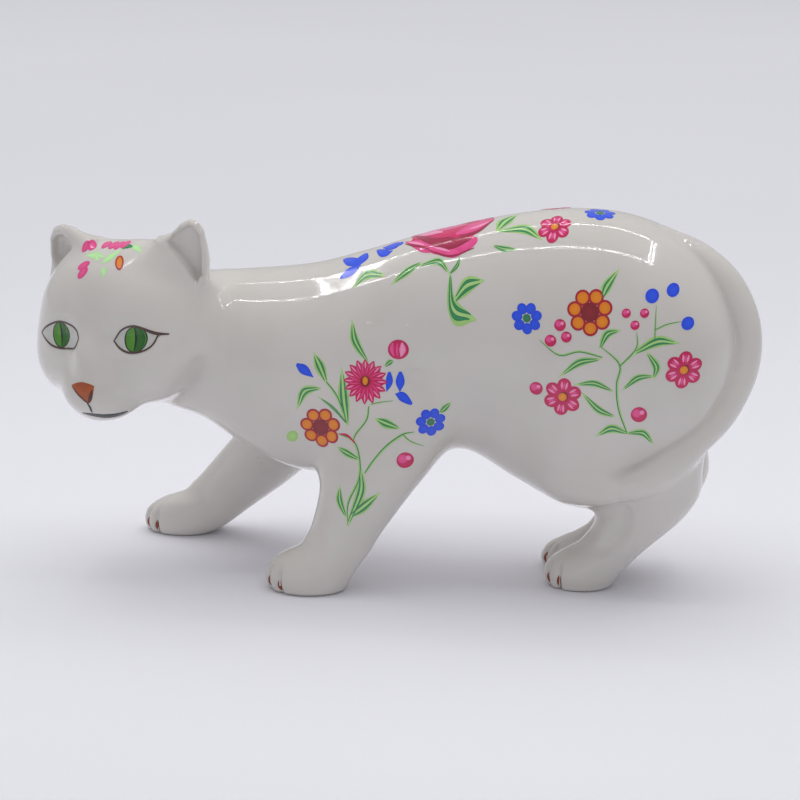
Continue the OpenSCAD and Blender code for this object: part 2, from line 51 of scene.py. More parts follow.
# Legs: z, front x, back x, half width, middle y
FORE_L = [(-1, -27.4, -11.6, 5.6, -18.3), (0, -28.4, -10.8, 6.2, -18.3), (2, -29.4, -9.7, 7, -18.3),
          (4, -29.4, -8.6, 7.3, -18.3), (6, -28.4, -7.4, 7.2, -18.3), (8, -26.2, -6, 6.9, -18.2),
          (10, -22.2, -4.6, 6.7, -18), (13, -19.8, -2.9, 6.8, -17.7), (18, -18, 0.5, 7.6, -16.8),
          (24, -16.9, 4.9, 9, -15.3), (30, -16.7, 9.5, 10.4, -13.6), (37, -15.5, 13.2, 11.6, -11.8),
          (44, -13, 14, 11.5, -10), (51, -6, 8, 7, -9), (54, -0.5, 0.5, 0.5, -9)]
FORE_R = [(-1, -65.5, -51.5, 5.2, 19.3), (0, -66.8, -50.2, 5.8, 19.3), (2, -68, -47, 6.6, 19.3),
          (4, -67.9, -44.3, 6.9, 19.3), (6, -66.8, -41.8, 6.8, 19.3), (8, -63.8, -39.2, 6.6, 19.2),
          (10, -58.6, -36.6, 6.5, 19), (13, -55.2, -32.7, 6.8, 18.6), (18, -50.8, -26.9, 7.8, 17.6),
          (24, -45.9, -19.4, 9.2, 16), (30, -40.8, -12.4, 10.6, 14), (37, -34, -6, 11.6, 12),
          (44, -28, -5, 11.3, 10.5), (51, -22, -9, 7, 9.5), (54, -16, -15, 0.5, 9.5)]
HIND_L = [(-1, 36.8, 49.6, 5.2, -7), (0, 35.8, 50.6, 5.8, -7), (2, 35, 52, 6.3, -7), (4, 35, 53.4, 6.5, -7),
          (6, 36, 55.2, 6.4, -7), (8, 38.6, 57, 6.1, -7.1), (10, 42, 59, 5.9, -7.2), (13, 44.8, 62.2, 6, -7.5),
          (18, 47.3, 67, 6.8, -8.2), (24, 49.5, 70.5, 8, -9.2), (30, 51, 71, 9, -10), (37, 54, 70, 8, -10),
          (44, 61.5, 62.5, 0.5, -10)]
HIND_R = [(-1, 35, 48.4, 5.2, 6.4), (0, 34, 49.4, 5.8, 6.4), (2, 33.2, 51, 6.3, 6.4), (4, 33.8, 52.6, 6.5, 6.4),
          (6, 36.2, 54.6, 6.3, 6.4), (8, 40.4, 56.8, 6, 6.4), (10, 43.6, 59.2, 5.9, 6.5), (13, 46, 63, 6, 6.8),
          (18, 49, 69.3, 6.8, 7.4), (24, 51, 72.4, 7.8, 8.4), (30, 52.5, 72, 8.6, 9), (37, 56, 70, 8, 9),
          (44, 62.5, 63.5, 0.5, 9)]
# Tail: x, y, z and radius along its middle line, from the rump down and forward along the left thigh
TAIL = [(60, 0, 79, 5.5), (68, -0.3, 76.6, 4.6), (75, -1.6, 71, 4.2), (79, -3.5, 62.5, 4.0),
        (78.8, -6, 53.5, 4.0), (74.9, -10.5, 44.8, 3.8), (69.4, -15, 39.2, 3.7), (63.8, -18, 34.6, 3.7),
        (58, -19, 30.5, 3.7), (52, -17.5, 28, 3.5), (46.5, -14.5, 27.2, 3.1), (40.5, -11.5, 27.2, 2.6)]
# The shallow valley behind the near hind leg's front edge, as a ball's path: x, y, z and radius
VALLEY = [(53.6, -16.2, 21, 1.4), (53.2, -16.4, 18.8, 2.3), (52.8, -16.1, 16.3, 2.6), (51.3, -15.3, 13.6, 2.6),
          (48.6, -14.9, 11.2, 2.2)]
# Head: place, turn, and masses in its own axes (side to the cat's right, forward, up): centre, radii, blend
HEAD_AT = np.array((-62.7, -12, 59.0))
HEAD_TURN = (160, -6, 6)
MASSES = [((0.5, -1.2, 2.4), (21.7, 16, 18.8), 0), ((10.1, 4.8, -5.2), (10.1, 8.8, 8.2), 8),
          ((-8.8, 5, -6), (8.8, 8.5, 7.6), 8), ((0.9, 12.3, -9.8), (8.8, 8.2, 6.3), 5),
          ((0, 10.5, -3.5), (4.2, 8, 7.5), 4), ((0.7, 11, -13.2), (6.4, 6.4, 4.2), 3),
          ((-9.5, -2, 15.7), (6.5, 4.6, 4.4), 5)]
SOCKETS = [((8.6, 18.2, 4.4), (6.6, 4.6, 4.4)), ((-11.4, 16.6, 3.4), (6.6, 4.6, 4.4))]
# Ears: side (1 is the cat's right), root in the head's axes, and the outline and the cup's outline in the ear's own
# plane, outwards and up
EARS = {
    "right_ear": (1, (13.4, -1.8, 14.8),
                  [(4.4, -5), (5.8, -1), (6.4, 3.5), (5.7, 7.8), (4, 9.8), (1.1, 10.5), (-2.2, 9.9), (-5.7, 8.4),
                   (-9.8, 7), (-8, 1), (0, -6)],
                  [(4.8, -2.6), (5.1, 3.3), (4.3, 6.6), (2.7, 7.9), (0.4, 8.2), (-2.7, 6.9), (-4.7, 5.2), (-3.7, 4),
                   (2.6, -2.6)]),
    "left_ear": (-1, (-16.3, -1.8, 15.4),
                 [(3.6, -7.5), (6.2, -4), (7.4, 0), (7.6, 3), (7.5, 7.5), (6.6, 9.8), (4.8, 10.6), (2.4, 9.8),
                  (-0.2, 7.6), (-3.7, 6.4), (-5, 1), (0, -7)],
                 [(4.6, -4.4), (5.8, -2), (6.4, 2.8), (6.3, 7), (5.4, 8.7), (4.4, 9.2), (2.6, 8.4), (-1.2, 5.8),
                  (-1, 4.4), (1.6, 0.4), (3.6, -3.2)])}
# How far an ear turns outwards and leans, in degrees, and how deep its cup goes behind its front
EAR_SPLAY, EAR_LEAN, CUP_FLOOR = 15, -2, -0.7
# Where the grooves between the toes are, in degrees round the paw from its front towards the cat's left
TOE_BEARINGS = (56, 25, -6, -38)
GROOVE_DEPTH, GROOVE_WIDTH = 0.7, 0.62
# Paws, as the toes' front x, the middle y, the paw's half width and its height
PAWS = {"front_left": (-29.4, -18.3, 7.2, 7.5), "front_right": (-68, 19.3, 6.8, 7.5),
        "hind_left": (35, -7, 6.5, 7.5), "hind_right": (33.2, 6.4, 6.3, 7.5)}
# Where the paw's toes fan out from, in half widths behind its front
TOE_CENTRE = 1.1
# The room that the figure is sculpted in, and how near a part's box its own field is worked out
LOWEST, HIGHEST = np.array((-90, -36, -3.0)), np.array((90, 36, 98.0))
FAR = 9.0
HEAD_SPAN, EAR_SPAN = 23, 15


# ---------------------------------------------------------------- smooth solids as distance-like fields
def smin(a, b, k):
    h = np.maximum(k - np.abs(a - b), 0) / k
    return np.minimum(a, b) - h * h * k * 0.25


def smax(a, b, k):
    return -smin(-a, -b, k)


def ramp(x, start, end):
    t = np.clip((x - start) / (end - start), 0, 1)
    return t * t * (3 - 2 * t)


def turn(yaw, pitch, roll):
    """Columns are a part's own axes: side, forward, up."""
    y, p, r = (math.radians(a) for a in (yaw, pitch, roll))
    rz = np.array(((math.cos(y), -math.sin(y), 0), (math.sin(y), math.cos(y), 0), (0, 0, 1)))
    rx = np.array(((1, 0, 0), (0, math.cos(p), -math.sin(p)), (0, math.sin(p), math.cos(p))))
    ry = np.array(((math.cos(r), 0, math.sin(r)), (0, 1, 0), (-math.sin(r), 0, math.cos(r))))
    return rz @ rx @ ry


HEAD_FRAME = turn(*HEAD_TURN)


def egg(q, centre, radii):
    q = q - np.array(centre, float)
    r = np.array(radii, float)
    k = np.linalg.norm(q / r, axis=1)
    return k * (k - 1) / np.maximum(np.linalg.norm(q / (r * r), axis=1), 1e-6)


def spline(rows, n):
    """A smooth curve through rows of numbers, n samples to a span."""
    p = np.array(rows, float)
    p = np.vstack((2 * p[0] - p[1], p, 2 * p[-1] - p[-2]))
    out = []
    for i in range(1, len(p) - 2):
        a, b, c, d = p[i - 1], p[i], p[i + 1], p[i + 2]
        for t in np.arange(n) / n:
            bend, twist = 2 * a - 5 * b + 4 * c - d, 3 * b - a - 3 * c + d
            out.append((2 * b + (c - a) * t + bend * t**2 + twist * t**3) / 2)
    out.append(p[-2])
    return np.array(out)


class Loft:
    """A solid given by sections along one axis, each an ellipse across the other two."""
    STEP = 0.02

    def __init__(self, table, axis, cross):
        rows = [(s, (a + b) / 2, ((a - b) / 2) ** 2, ((a - b) / 2 / w) ** 2, c) for s, a, b, w, c in table]
        knots = np.array([r[0] for r in rows], float)
        vals = np.array([r[1:] for r in rows], float)
        slopes = np.gradient(vals, knots, axis=0)
        s = np.arange(knots[0], knots[-1] + self.STEP, self.STEP)
        i = np.clip(np.searchsorted(knots, s) - 1, 0, len(knots) - 2)
        h = (knots[i + 1] - knots[i])[:, None]
        t = np.clip((s - knots[i])[:, None] / h, 0, 1)
        a, b, m, n = vals[i], vals[i + 1], slopes[i] * h, slopes[i + 1] * h
        v = (2*t**3 - 3*t**2 + 1)*a + (t**3 - 2*t**2 + t)*m + (3*t**2 - 2*t**3)*b + (t**3 - t**2)*n
        d = ((6*t**2 - 6*t)*a + (3*t**2 - 4*t + 1)*m + (6*t - 6*t**2)*b + (3*t**2 - 2*t)*n) / h
        self.rows = np.hstack((v, d))
        self.low, self.high, self.axis, self.cross = knots[0], knots[-1], axis, cross
        lo, hi = np.zeros(3), np.zeros(3)
        lo[axis], hi[axis] = self.low - 1, self.high + 1
        lo[cross[0]], hi[cross[0]] = min(min(r[1:3]) for r in table), max(max(r[1:3]) for r in table)
        lo[cross[1]], hi[cross[1]] = min(r[4] - r[3] for r in table), max(r[4] + r[3] for r in table)
        self.box = (lo, hi)

    def __call__(self, p):
        s, u, v = p[:, self.axis], p[:, self.cross[0]], p[:, self.cross[1]]
        inside = np.clip(s, self.low, self.high)
        f = (inside - self.low) / self.STEP
        i = np.minimum(f.astype(int), len(self.rows) - 2)
        f = (f - i)[:, None]
        r = self.rows[i] * (1 - f) + self.rows[i + 1] * f
        past = s - inside
        du, dv = u - r[:, 0], v - r[:, 3]
        g = du * du + r[:, 2] * dv * dv - r[:, 1] + 6 * np.abs(past) * (1 + np.abs(past))
        gs = -2 * du * r[:, 4] + r[:, 6] * dv * dv - 2 * r[:, 2] * dv * r[:, 7] - r[:, 5]
        gs = np.where(past == 0, gs, 6 * np.sign(past) * (1 + 2 * np.abs(past)))
        size = np.sqrt(gs * gs + 4 * du * du + 4 * (r[:, 2] * dv) ** 2)
        return np.clip(g / np.maximum(size, 1.0), -30, 30)


class Rod:
    """A ball swept along a smooth path of x, y, z, radius."""
    def __init__(self, rows, n=6):
        self.c = spline(rows, n)
        r = self.c[:, 3:].max()
        self.box = (self.c[:, :3].min(0) - r, self.c[:, :3].max(0) + r)

    def __call__(self, p):
        c = self.c
        best, place = np.full(len(p), 1e9), np.zeros(len(p))
        for i in range(len(c) - 1):
            a, d = c[i, :3], c[i + 1, :3] - c[i, :3]
            q = p - a
            t = np.clip(q @ d / (d @ d), 0, 1)
            dist = np.linalg.norm(q - t[:, None] * d, axis=1) - (c[i, 3] * (1 - t) + c[i + 1, 3] * t)
            m = dist < best
            best[m] = dist[m]
            place[m] = i + t[m]
        i = np.clip(place.astype(int), 0, len(c) - 2)
        f = (place - i)[:, None]
        k = np.vstack((2 * c[0] - c[1], c, 2 * c[-1] - c[-2]))
        a, b, e, g = k[i], k[i + 1], k[i + 2], k[i + 3]
        m = (2 * b + (e - a) * f + (2 * a - 5 * b + 4 * e - g) * f**2 + (3 * b - a - 3 * e + g) * f**3) / 2
        return np.linalg.norm(p - m[:, :3], axis=1) - m[:, 3]


def near(p, box, field):
    """The field close to its box; elsewhere the distance to the box, which is enough there."""
    off = np.maximum(np.maximum(box[0] - p, p - box[1]), 0)
    d = np.linalg.norm(off, axis=1)
    m = d < FAR
    if m.any():
        d[m] = field(p[m])
    return d


LOFTS = {"body": Loft(TRUNK, 0, (2, 1)), "front_left_leg": Loft(FORE_L, 2, (0, 1)),
         "front_right_leg": Loft(FORE_R, 2, (0, 1)), "hind_left_leg": Loft(HIND_L, 2, (0, 1)),
         "hind_right_leg": Loft(HIND_R, 2, (0, 1))}
TAIL_ROD, VALLEY_ROD = Rod(TAIL), Rod(VALLEY)
# How softly each part runs into the figure
BLENDS = {"front_left_leg": 7, "front_right_leg": 7, "hind_left_leg": 3.6, "hind_right_leg": 3}
EAR_BLEND, VALLEY_BLEND, SOLE_BLEND = 4, 1.3, 0.8


def skull(p):
    q = (p - HEAD_AT) @ HEAD_FRAME
    d = None
    for centre, radii, k in MASSES:
        e = egg(q, centre, radii)
        d = e if d is None else smin(d, e, k)
    for centre, radii in SOCKETS:
        d = smax(d, -egg(q, centre, radii), 2.6)
    return d


def polygon(q, corners):
    """Distance from the outline through the corners, less than 0 inside."""
    c = np.array(corners, float)
    nearest = np.full(len(q), 1e9)
    inside = np.zeros(len(q), bool)
    for a, b in zip(c, np.roll(c, -1, 0)):
        way, from_a = b - a, q - a
        t = np.clip(from_a @ way / (way @ way), 0, 1)
        nearest = np.minimum(nearest, np.linalg.norm(from_a - t[:, None] * way, axis=1))
        crosses = (a[1] > q[:, 1]) != (b[1] > q[:, 1])
        if b[1] != a[1]:
            inside ^= crosses & (q[:, 0] < a[0] + (q[:, 1] - a[1]) * way[0] / way[1])
    return np.where(inside, -nearest, nearest)


def ear(name):
    s, root, outline, cup_outline = EARS[name]
    axes = turn(HEAD_TURN[0] - EAR_SPLAY * s, HEAD_TURN[1] + EAR_LEAN, HEAD_TURN[2])
    at = HEAD_AT + HEAD_FRAME @ np.array(root)

    def field(p):
        q = (p - at) @ axes
        flat = q[:, (0, 2)] * (s, 1)
        half = 2.7 - 0.12 * np.clip(q[:, 2], -6, 11)
        shell = smax(polygon(flat, outline), np.abs(q[:, 1] + 0.3) - half, 2.2)
        hollow = smax(polygon(flat, cup_outline), CUP_FLOOR - q[:, 1], 1.4)
        return smax(shell, -hollow, 0.9)
    return field, (at - EAR_SPAN, at + EAR_SPAN)


EAR_FIELDS = {name: ear(name) for name in EARS}
HEAD_BOX = (HEAD_AT - HEAD_SPAN, HEAD_AT + HEAD_SPAN)


def toes(p):
    """How far the glaze dips in the grooves between the toes."""
    dip = np.zeros(len(p))
    for front, middle, half, height in PAWS.values():
        x0 = front + TOE_CENTRE * half
        m = (p[:, 0] < x0 + 1) & (p[:, 0] > front - 3)
        m &= (p[:, 2] < height + 3) & (np.abs(p[:, 1] - middle) < half + 2)
        x, y, z = p[m, 0] - x0, p[m, 1] - middle, p[m, 2]
        away, bearing = np.hypot(x, y), np.degrees(np.arctan2(-y, -x))
        fade = ramp(away, 2, 5) * (1 - ramp(z, height - 3, height + 0.5))
        for groove in TOE_BEARINGS:
            arc = away * np.radians(bearing - groove)
            dip[m] += GROOVE_DEPTH * np.exp(-(arc / GROOVE_WIDTH) ** 2) * fade
    return dip


def parts(p):
    """Each part's own field."""
    out = {name: near(p, loft.box, loft) for name, loft in LOFTS.items()}
    out["tail"] = near(p, TAIL_ROD.box, TAIL_ROD)
    out["head"] = near(p, HEAD_BOX, skull)
    for name, (field, box) in EAR_FIELDS.items():
        out[name] = near(p, box, field)
    return out


def level(p):
    """The whole figure: negative inside."""
    f = parts(p)
    melt = 0.8 + 7 * (1 - ramp(p[:, 0], 48, 57))
    d = smin(f["body"], f["tail"], melt)
    for name, k in BLENDS.items():
        d = smin(d, f[name], k)
    d = smin(d, f["head"], 3.6 + 3.4 * ramp(p[:, 2], 46, 58))
    for name in EARS:
        d = smin(d, f[name], EAR_BLEND)
    d = smax(d, -near(p, VALLEY_ROD.box, VALLEY_ROD), VALLEY_BLEND)
    return smax(d + toes(p), -p[:, 2], SOLE_BLEND)


def slope(p, e=0.02):
    """The field's gradient from four samples."""
    corners = np.array(((1, 1, 1), (1, -1, -1), (-1, 1, -1), (-1, -1, 1)), float)
    return sum(level(p + c * e)[:, None] * c for c in corners) / (4 * e)


def unit(v):
    return v / np.maximum(np.linalg.norm(v, axis=-1, keepdims=True), 1e-12)


# ---------------------------------------------------------------- meshing
# Points worked out at a time
BATCH = 300000


def sample(h, coarse=4):
    """The field on a grid, worked out only near the surface."""
    big = h * coarse
    n = np.ceil((HIGHEST - LOWEST) / big).astype(int) + 1
    axes = [LOWEST[i] + big * np.arange(n[i] + 1) for i in range(3)]
    rough = level(np.stack(np.meshgrid(*axes, indexing="ij"), -1).reshape(-1, 3)).reshape(n + 1)
    fine = n * coarse + 1
    pick = [np.clip(np.round(np.arange(fine[i]) / coarse).astype(int), 0, n[i]) for i in range(3)]
    grid = rough[np.ix_(*pick)].astype(np.float32)
    close = np.zeros(n, bool)
    for a in (0, 1):
        for b in (0, 1):
            for c in (0, 1):
                close |= np.abs(rough[a:n[0] + a, b:n[1] + b, c:n[2] + c]) < big * 1.9
    off = np.stack(np.meshgrid(*[np.arange(coarse + 1)] * 3, indexing="ij"), -1).reshape(-1, 3)
    cells = (np.argwhere(close)[:, None, :] * coarse + off[None]).reshape(-1, 3)
    todo = np.zeros(fine, bool)
    todo[tuple(cells.T)] = True
    cells = np.argwhere(todo)
    batches = np.array_split(cells, 1 + len(cells) // BATCH)
    values = np.concatenate([level(LOWEST + part * h) for part in batches])
    grid[tuple(cells.T)] = values
    return grid


def quads_of(grid, h):
    """Surface nets: one point in each cell that the surface crosses, one quad across each crossed edge."""
    inside = grid < 0
    size = grid.shape
    corners = [(a, b, c) for a in (0, 1) for b in (0, 1) for c in (0, 1)]
    count = np.zeros([n - 1 for n in size], np.int8)
    for a, b, c in corners:
        count += inside[a:size[0] - 1 + a, b:size[1] - 1 + b, c:size[2] - 1 + c]
    active = (count > 0) & (count < 8)
    ids = np.full(active.shape, -1, np.int64)
    cells = np.argwhere(active)
    ids[active] = np.arange(len(cells))
    vals = np.stack([grid[tuple((cells + c).T)] for c in corners], 1)
    kc = np.array(corners, float)
    total, hits = np.zeros((len(cells), 3)), np.zeros(len(cells))
    for a in range(8):
        for b in range(a + 1, 8):
            if np.abs(kc[a] - kc[b]).sum() != 1:
                continue
            m = (vals[:, a] < 0) != (vals[:, b] < 0)
            t = vals[m, a] / (vals[m, a] - vals[m, b])
            total[m] += kc[a] + t[:, None] * (kc[b] - kc[a])
            hits[m] += 1
    verts = (cells + total / hits[:, None]) * h + LOWEST
    quads = []
    for axis in range(3):
        first, second = [slice(None)] * 3, [slice(None)] * 3
        first[axis], second[axis] = slice(0, -1), slice(1, None)
        a, b = inside[tuple(first)], inside[tuple(second)]
        edges = np.argwhere(a != b)
        u, v = ((1, 2), (2, 0), (0, 1))[axis]
        keep = (edges[:, u] > 0) & (edges[:, v] > 0)
        keep &= (edges[:, u] < size[u] - 1) & (edges[:, v] < size[v] - 1)
        edges = edges[keep]
        ring = []
        for du, dv in ((1, 1), (0, 1), (0, 0), (1, 0)):
            q = edges.copy()
            q[:, u] -= du
            q[:, v] -= dv
            ring.append(ids[tuple(q.T)])
        q = np.stack(ring, 1)
        turned = ~a[tuple(edges.T)]
        q[turned] = q[turned][:, ::-1]
        quads.append(q)
    return verts, np.vstack(quads)


def settle(v, rounds=3):
    """Moves points onto the surface."""
    for _ in range(rounds):
        g = slope(v)
        step = (level(v) / np.maximum((g * g).sum(1), 1e-4))[:, None] * g
        size = np.linalg.norm(step, axis=1, keepdims=True)
        v = v - step * np.minimum(1, 0.3 / np.maximum(size, 1e-9))
    return v


# ---------------------------------------------------------------- pieces
PORCELAIN_PIECES = ["body", "tail", "front_left_leg", "front_right_leg", "hind_left_leg", "hind_right_leg",
                    "head", "left_ear", "right_ear"]
# How much further than its own field an ear owns the skin at its root
EAR_REACH = 1.0


def owners(p):
    """Which porcelain piece each point belongs to: the one whose own field is lowest there."""
    f = parts(p)
    for name in EARS:
        f[name] = f[name] - EAR_REACH
    return np.argmin(np.stack([f[name] for name in PORCELAIN_PIECES]), 0)


def tidy_borders(owner, quads, rounds=4):
    """Gives stray faces to the piece that most of their neighbours belong to."""
    edges = np.sort(np.stack((quads, np.roll(quads, -1, 1)), -1).reshape(-1, 2), 1)
    key = edges[:, 0] * (quads.max() + 1) + edges[:, 1]
    order = np.argsort(key, kind="stable")
    face = order // 4
    same = key[order][1:] == key[order][:-1]
    pairs = np.stack((face[:-1][same], face[1:][same]), 1)
    for _ in range(rounds):
        votes = np.zeros((len(quads), len(PORCELAIN_PIECES)), np.int8)
        for a, b in (pairs.T, pairs.T[::-1]):
            np.add.at(votes, (a, owner[b]), 1)
        votes[np.arange(len(quads)), owner] += 1
        best = votes.argmax(1)
        owner = np.where(votes.max(1) >= 4, best, owner)
    return owner


def snap_borders(v, quads, owner):
    """Moves points shared by two pieces onto the line where their fields agree, for a smooth joint."""
    low = np.full(len(v), 99)
    high = np.full(len(v), -1)
    for k in range(4):
        np.minimum.at(low, quads[:, k], owner)
        np.maximum.at(high, quads[:, k], owner)
    border = np.flatnonzero(low != high)
    names = np.array(PORCELAIN_PIECES)

    def gap(p):
        f = parts(p)
        for name in EARS:
            f[name] = f[name] - EAR_REACH
        stack = np.stack([f[name] for name in names])
        rows = np.arange(len(p))
        return stack[low[border], rows] - stack[high[border], rows]

    p, e = v[border], 0.05
    start = p.copy()
    for _ in range(3):
        g = np.stack([(gap(p + d) - gap(p - d)) / (2 * e) for d in np.eye(3) * e], 1)
        n = unit(slope(p))
        g -= (g * n).sum(1, keepdims=True) * n
        step = (gap(p) / np.maximum((g * g).sum(1), 0.05))[:, None] * g
        size = np.linalg.norm(step, axis=1, keepdims=True)
        p = p - step * np.minimum(1, 0.3 * CELL / np.maximum(size, 1e-9))
    far = np.linalg.norm(p - start, axis=1) > 0.6 * CELL
    p[far] = start[far]
    v = v.copy()
    v[border] = settle(p, 1)
    return v


def loops_of(quads):
    """The border of a set of faces, as rings of points in order."""
    here = np.stack((quads, np.roll(quads, -1, 1)), -1).reshape(-1, 2)
    there = set(map(tuple, here.tolist()))
    after = {}
    for a, b in there:
        if (b, a) not in there:
            after.setdefault(a, []).append(b)
    rings = []
    while after:
        start = next(iter(after))
        ring, at = [start], start
        while True:
            onward = after[at]
            nxt = onward.pop()
            if not onward:
                del after[at]
            if nxt == start:
                break
            ring.append(nxt)
            at = nxt
        if len(ring) > 2:
            rings.append(ring)
    return rings


def capped(v, quads):
    """Closes a piece where it joins its neighbours, with rings drawn in towards the middle of the joint."""
    points, faces = list(v), [tuple(q) for q in quads.tolist()]
    caps = []
    for ring in loops_of(quads):
        p = v[ring]
        middle = p.mean(0)
        last = ring
        for share in (0.66, 0.33):
            p = (p + np.roll(p, 1, 0) + np.roll(p, -1, 0)) / 3
            start = len(points)
            points.extend(middle + (p - middle) * share)
            new = list(range(start, start + len(ring)))
            for i in range(len(ring)):
                j = (i + 1) % len(ring)
                caps.append((last[j], last[i], new[i], new[j]))
            last = new
        points.append(middle)
        for i in range(len(ring)):
            caps.append((last[(i + 1) % len(ring)], last[i], len(points) - 1))
    return np.array(points), faces, caps


def new_object(name, points, faces, material):
    mesh = bpy.data.meshes.new(name)
    mesh.from_pydata(((points + CENTRE) * MM).tolist(), [], faces)
    mesh.update()
    obj = bpy.data.objects.new(name, mesh)
    bpy.context.scene.collection.objects.link(obj)
    for m in material if isinstance(material, list) else [material]:
        mesh.materials.append(m)
    return obj


def set_normals(mesh, normals, count):
    """Points keep the whole figure's normals on the first count faces; the others are flat."""
    mesh.polygons.foreach_set("use_smooth", [True] * len(mesh.polygons))
    start = np.zeros(len(mesh.polygons), int)
    total = np.zeros(len(mesh.polygons), int)
    mesh.polygons.foreach_get("loop_start", start)
    mesh.polygons.foreach_get("loop_total", total)
    corner = np.zeros(len(mesh.loops), int)
    mesh.loops.foreach_get("vertex_index", corner)
    flat = np.zeros(len(mesh.polygons) * 3)
    mesh.polygons.foreach_get("normal", flat)
    face = np.repeat(np.arange(len(mesh.polygons)), total)
    out = np.where((face < count)[:, None], normals[corner], flat.reshape(-1, 3)[face])
    mesh.normals_split_custom_set(out.tolist())


def place(obj, slot, *nodes):
    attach(obj, "root")
    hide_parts(*nodes)


def build_porcelain(material):
    v, quads = quads_of(sample(CELL), CELL)
    v = settle(v, 2)
    middles = v[quads].mean(1)
    owner = tidy_borders(owners(middles), quads)
    v = snap_borders(v, quads, owner)
    normals = unit(slope(v))
    for i, name in enumerate(PORCELAIN_PIECES):
        own = quads[owner == i]
        used, index = np.unique(own, return_inverse=True)
        points, faces, caps = capped(v[used], index.reshape(-1, 4))
        piece_normals = np.zeros((len(points), 3))
        piece_normals[:len(used)] = normals[used]
        obj = new_object("porcelain_" + name, points, faces + caps, material)
        set_normals(obj.data, piece_normals, len(faces))
        place(obj, "porcelain", name)


# ---------------------------------------------------------------- painting on the glaze
# How far out each drawing starts its way in to the glaze, and how far in it may go
SIDE_OUT, BACK_OUT, FACE_OUT, CROWN_OUT, PAW_OUT = 34, 95, 24, 26, 8.5
TOO_FAR, STOP_AT, OFF_GLAZE = 120, 140, 0.6


def lay(points, plane):
    """Carries drawn points onto the glaze along the drawing's line of sight: places and normals.

    The plane is the figure's left or right side, its back, the head's front (face) or its top (crown), or for a
    paw (x, y, bearing)."""
    u, v = points[:, 0], points[:, 1]
    o = np.zeros(len(u))
    if plane == "left":
        start, along = np.stack((u, o - SIDE_OUT, v), 1), np.array((0, 1, 0.0))
    elif plane == "right":
        start, along = np.stack((u, o + SIDE_OUT, v), 1), np.array((0, -1, 0.0))
    elif plane == "back":
        start, along = np.stack((u, v, o + BACK_OUT), 1), np.array((0, 0, -1.0))
    elif plane == "face":
        start, along = np.stack((u, o + FACE_OUT, v), 1) @ HEAD_FRAME.T + HEAD_AT, -HEAD_FRAME[:, 1]
    elif plane == "crown":
        start, along = np.stack((u, v, o + CROWN_OUT), 1) @ HEAD_FRAME.T + HEAD_AT, -HEAD_FRAME[:, 2]
    else:
        x0, y0, bearing = plane
        out = np.array((-math.cos(bearing), -math.sin(bearing), 0))
        start = np.array((x0, y0, 0)) + out * PAW_OUT + np.stack((-out[1] * u, out[0] * u, v), 1)
        along = -out
    gone = np.zeros(len(u))
    for _ in range(36):
        gone += np.clip(level(start + along * gone[:, None]) * 0.85, -2, 8)
        gone = np.minimum(gone, STOP_AT)
    p = start + along * gone[:, None]
    missed = (gone > TOO_FAR) | (np.abs(level(p)) > OFF_GLAZE)
    p[~missed] = settle(p[~missed], 1)
    return p, unit(slope(p)), missed


# The angles of the rows that round off a stroke's ends
ROUNDING = (0.5, 1.0, 1.4)


def width_at(widths, t):
    smooth = spline([(w,) for w in widths], 8)[:, 0]
    return np.maximum(np.interp(t, np.linspace(0, 1, len(smooth)), smooth), 0.06)


def blade(points, widths, n=5, across=5):
    """A brush stroke: points across a smooth line with rounded ends, and how near the edge each is."""
    line = spline(points, max(n, math.ceil(16 / (len(points) - 1))))
    t = np.linspace(0, 1, len(line))
    half = width_at(widths, t) / 2
    ease = (half * (1 - np.abs(2 * t - 1) ** 6 * 0.25))
    heading = unit(np.gradient(line, axis=0))
    rows, sizes = list(line), list(ease)
    for at, sign in ((0, -1), (-1, 1)):
        for angle in ROUNDING:
            where = 0 if sign < 0 else len(rows)
            rows.insert(where, line[at] + sign * heading[at] * ease[at] * math.sin(angle))
            sizes.insert(where, ease[at] * math.cos(angle))
    rows, sizes = np.array(rows), np.array(sizes)
    ends = [heading[0]] * len(ROUNDING) + list(heading) + [heading[-1]] * len(ROUNDING)
    side = np.array([(-h[1], h[0]) for h in ends])
    c = np.linspace(-1, 1, across)
    grid = rows[:, None, :] + side[:, None, :] * sizes[:, None, None] * c[None, :, None]
    return grid, np.repeat(np.abs(c)[None], len(rows), 0), False


def oval(centre, a, b, around=22):
    """A dab: rings of points round its middle, and how near the edge each is."""
    q = np.linspace(0, 2 * np.pi, around, endpoint=False)
    c, s = np.cos(q), np.sin(q)
    ring = np.array(a)[None] * c[:, None] + np.array(b)[None] * s[:, None]
    share = np.array((0.02, 0.3, 0.58, 0.82, 1.0))
    grid = np.array(centre)[None, None] + ring[None] * share[:, None, None]
    return grid, np.repeat(share[:, None], around, 1), True


def even(line, t):
    """The smooth line at even steps of its points' numbers."""
    line = spline(line, 6)
    return np.stack([np.interp(t, np.linspace(0, 1, len(line)), line[:, k]) for k in (0, 1)], 1)


def lens(upper, lower, across=7):
    """The area between two lines that meet at their ends."""
    t = np.linspace(0, 1, 40)
    a, b = even(upper, t), even(lower, t)
    c = np.linspace(0, 1, across)
    grid = a[:, None] * (1 - c)[None, :, None] + b[:, None] * c[None, :, None]
    return grid, np.repeat(np.abs(2 * c - 1)[None], len(t), 0), False


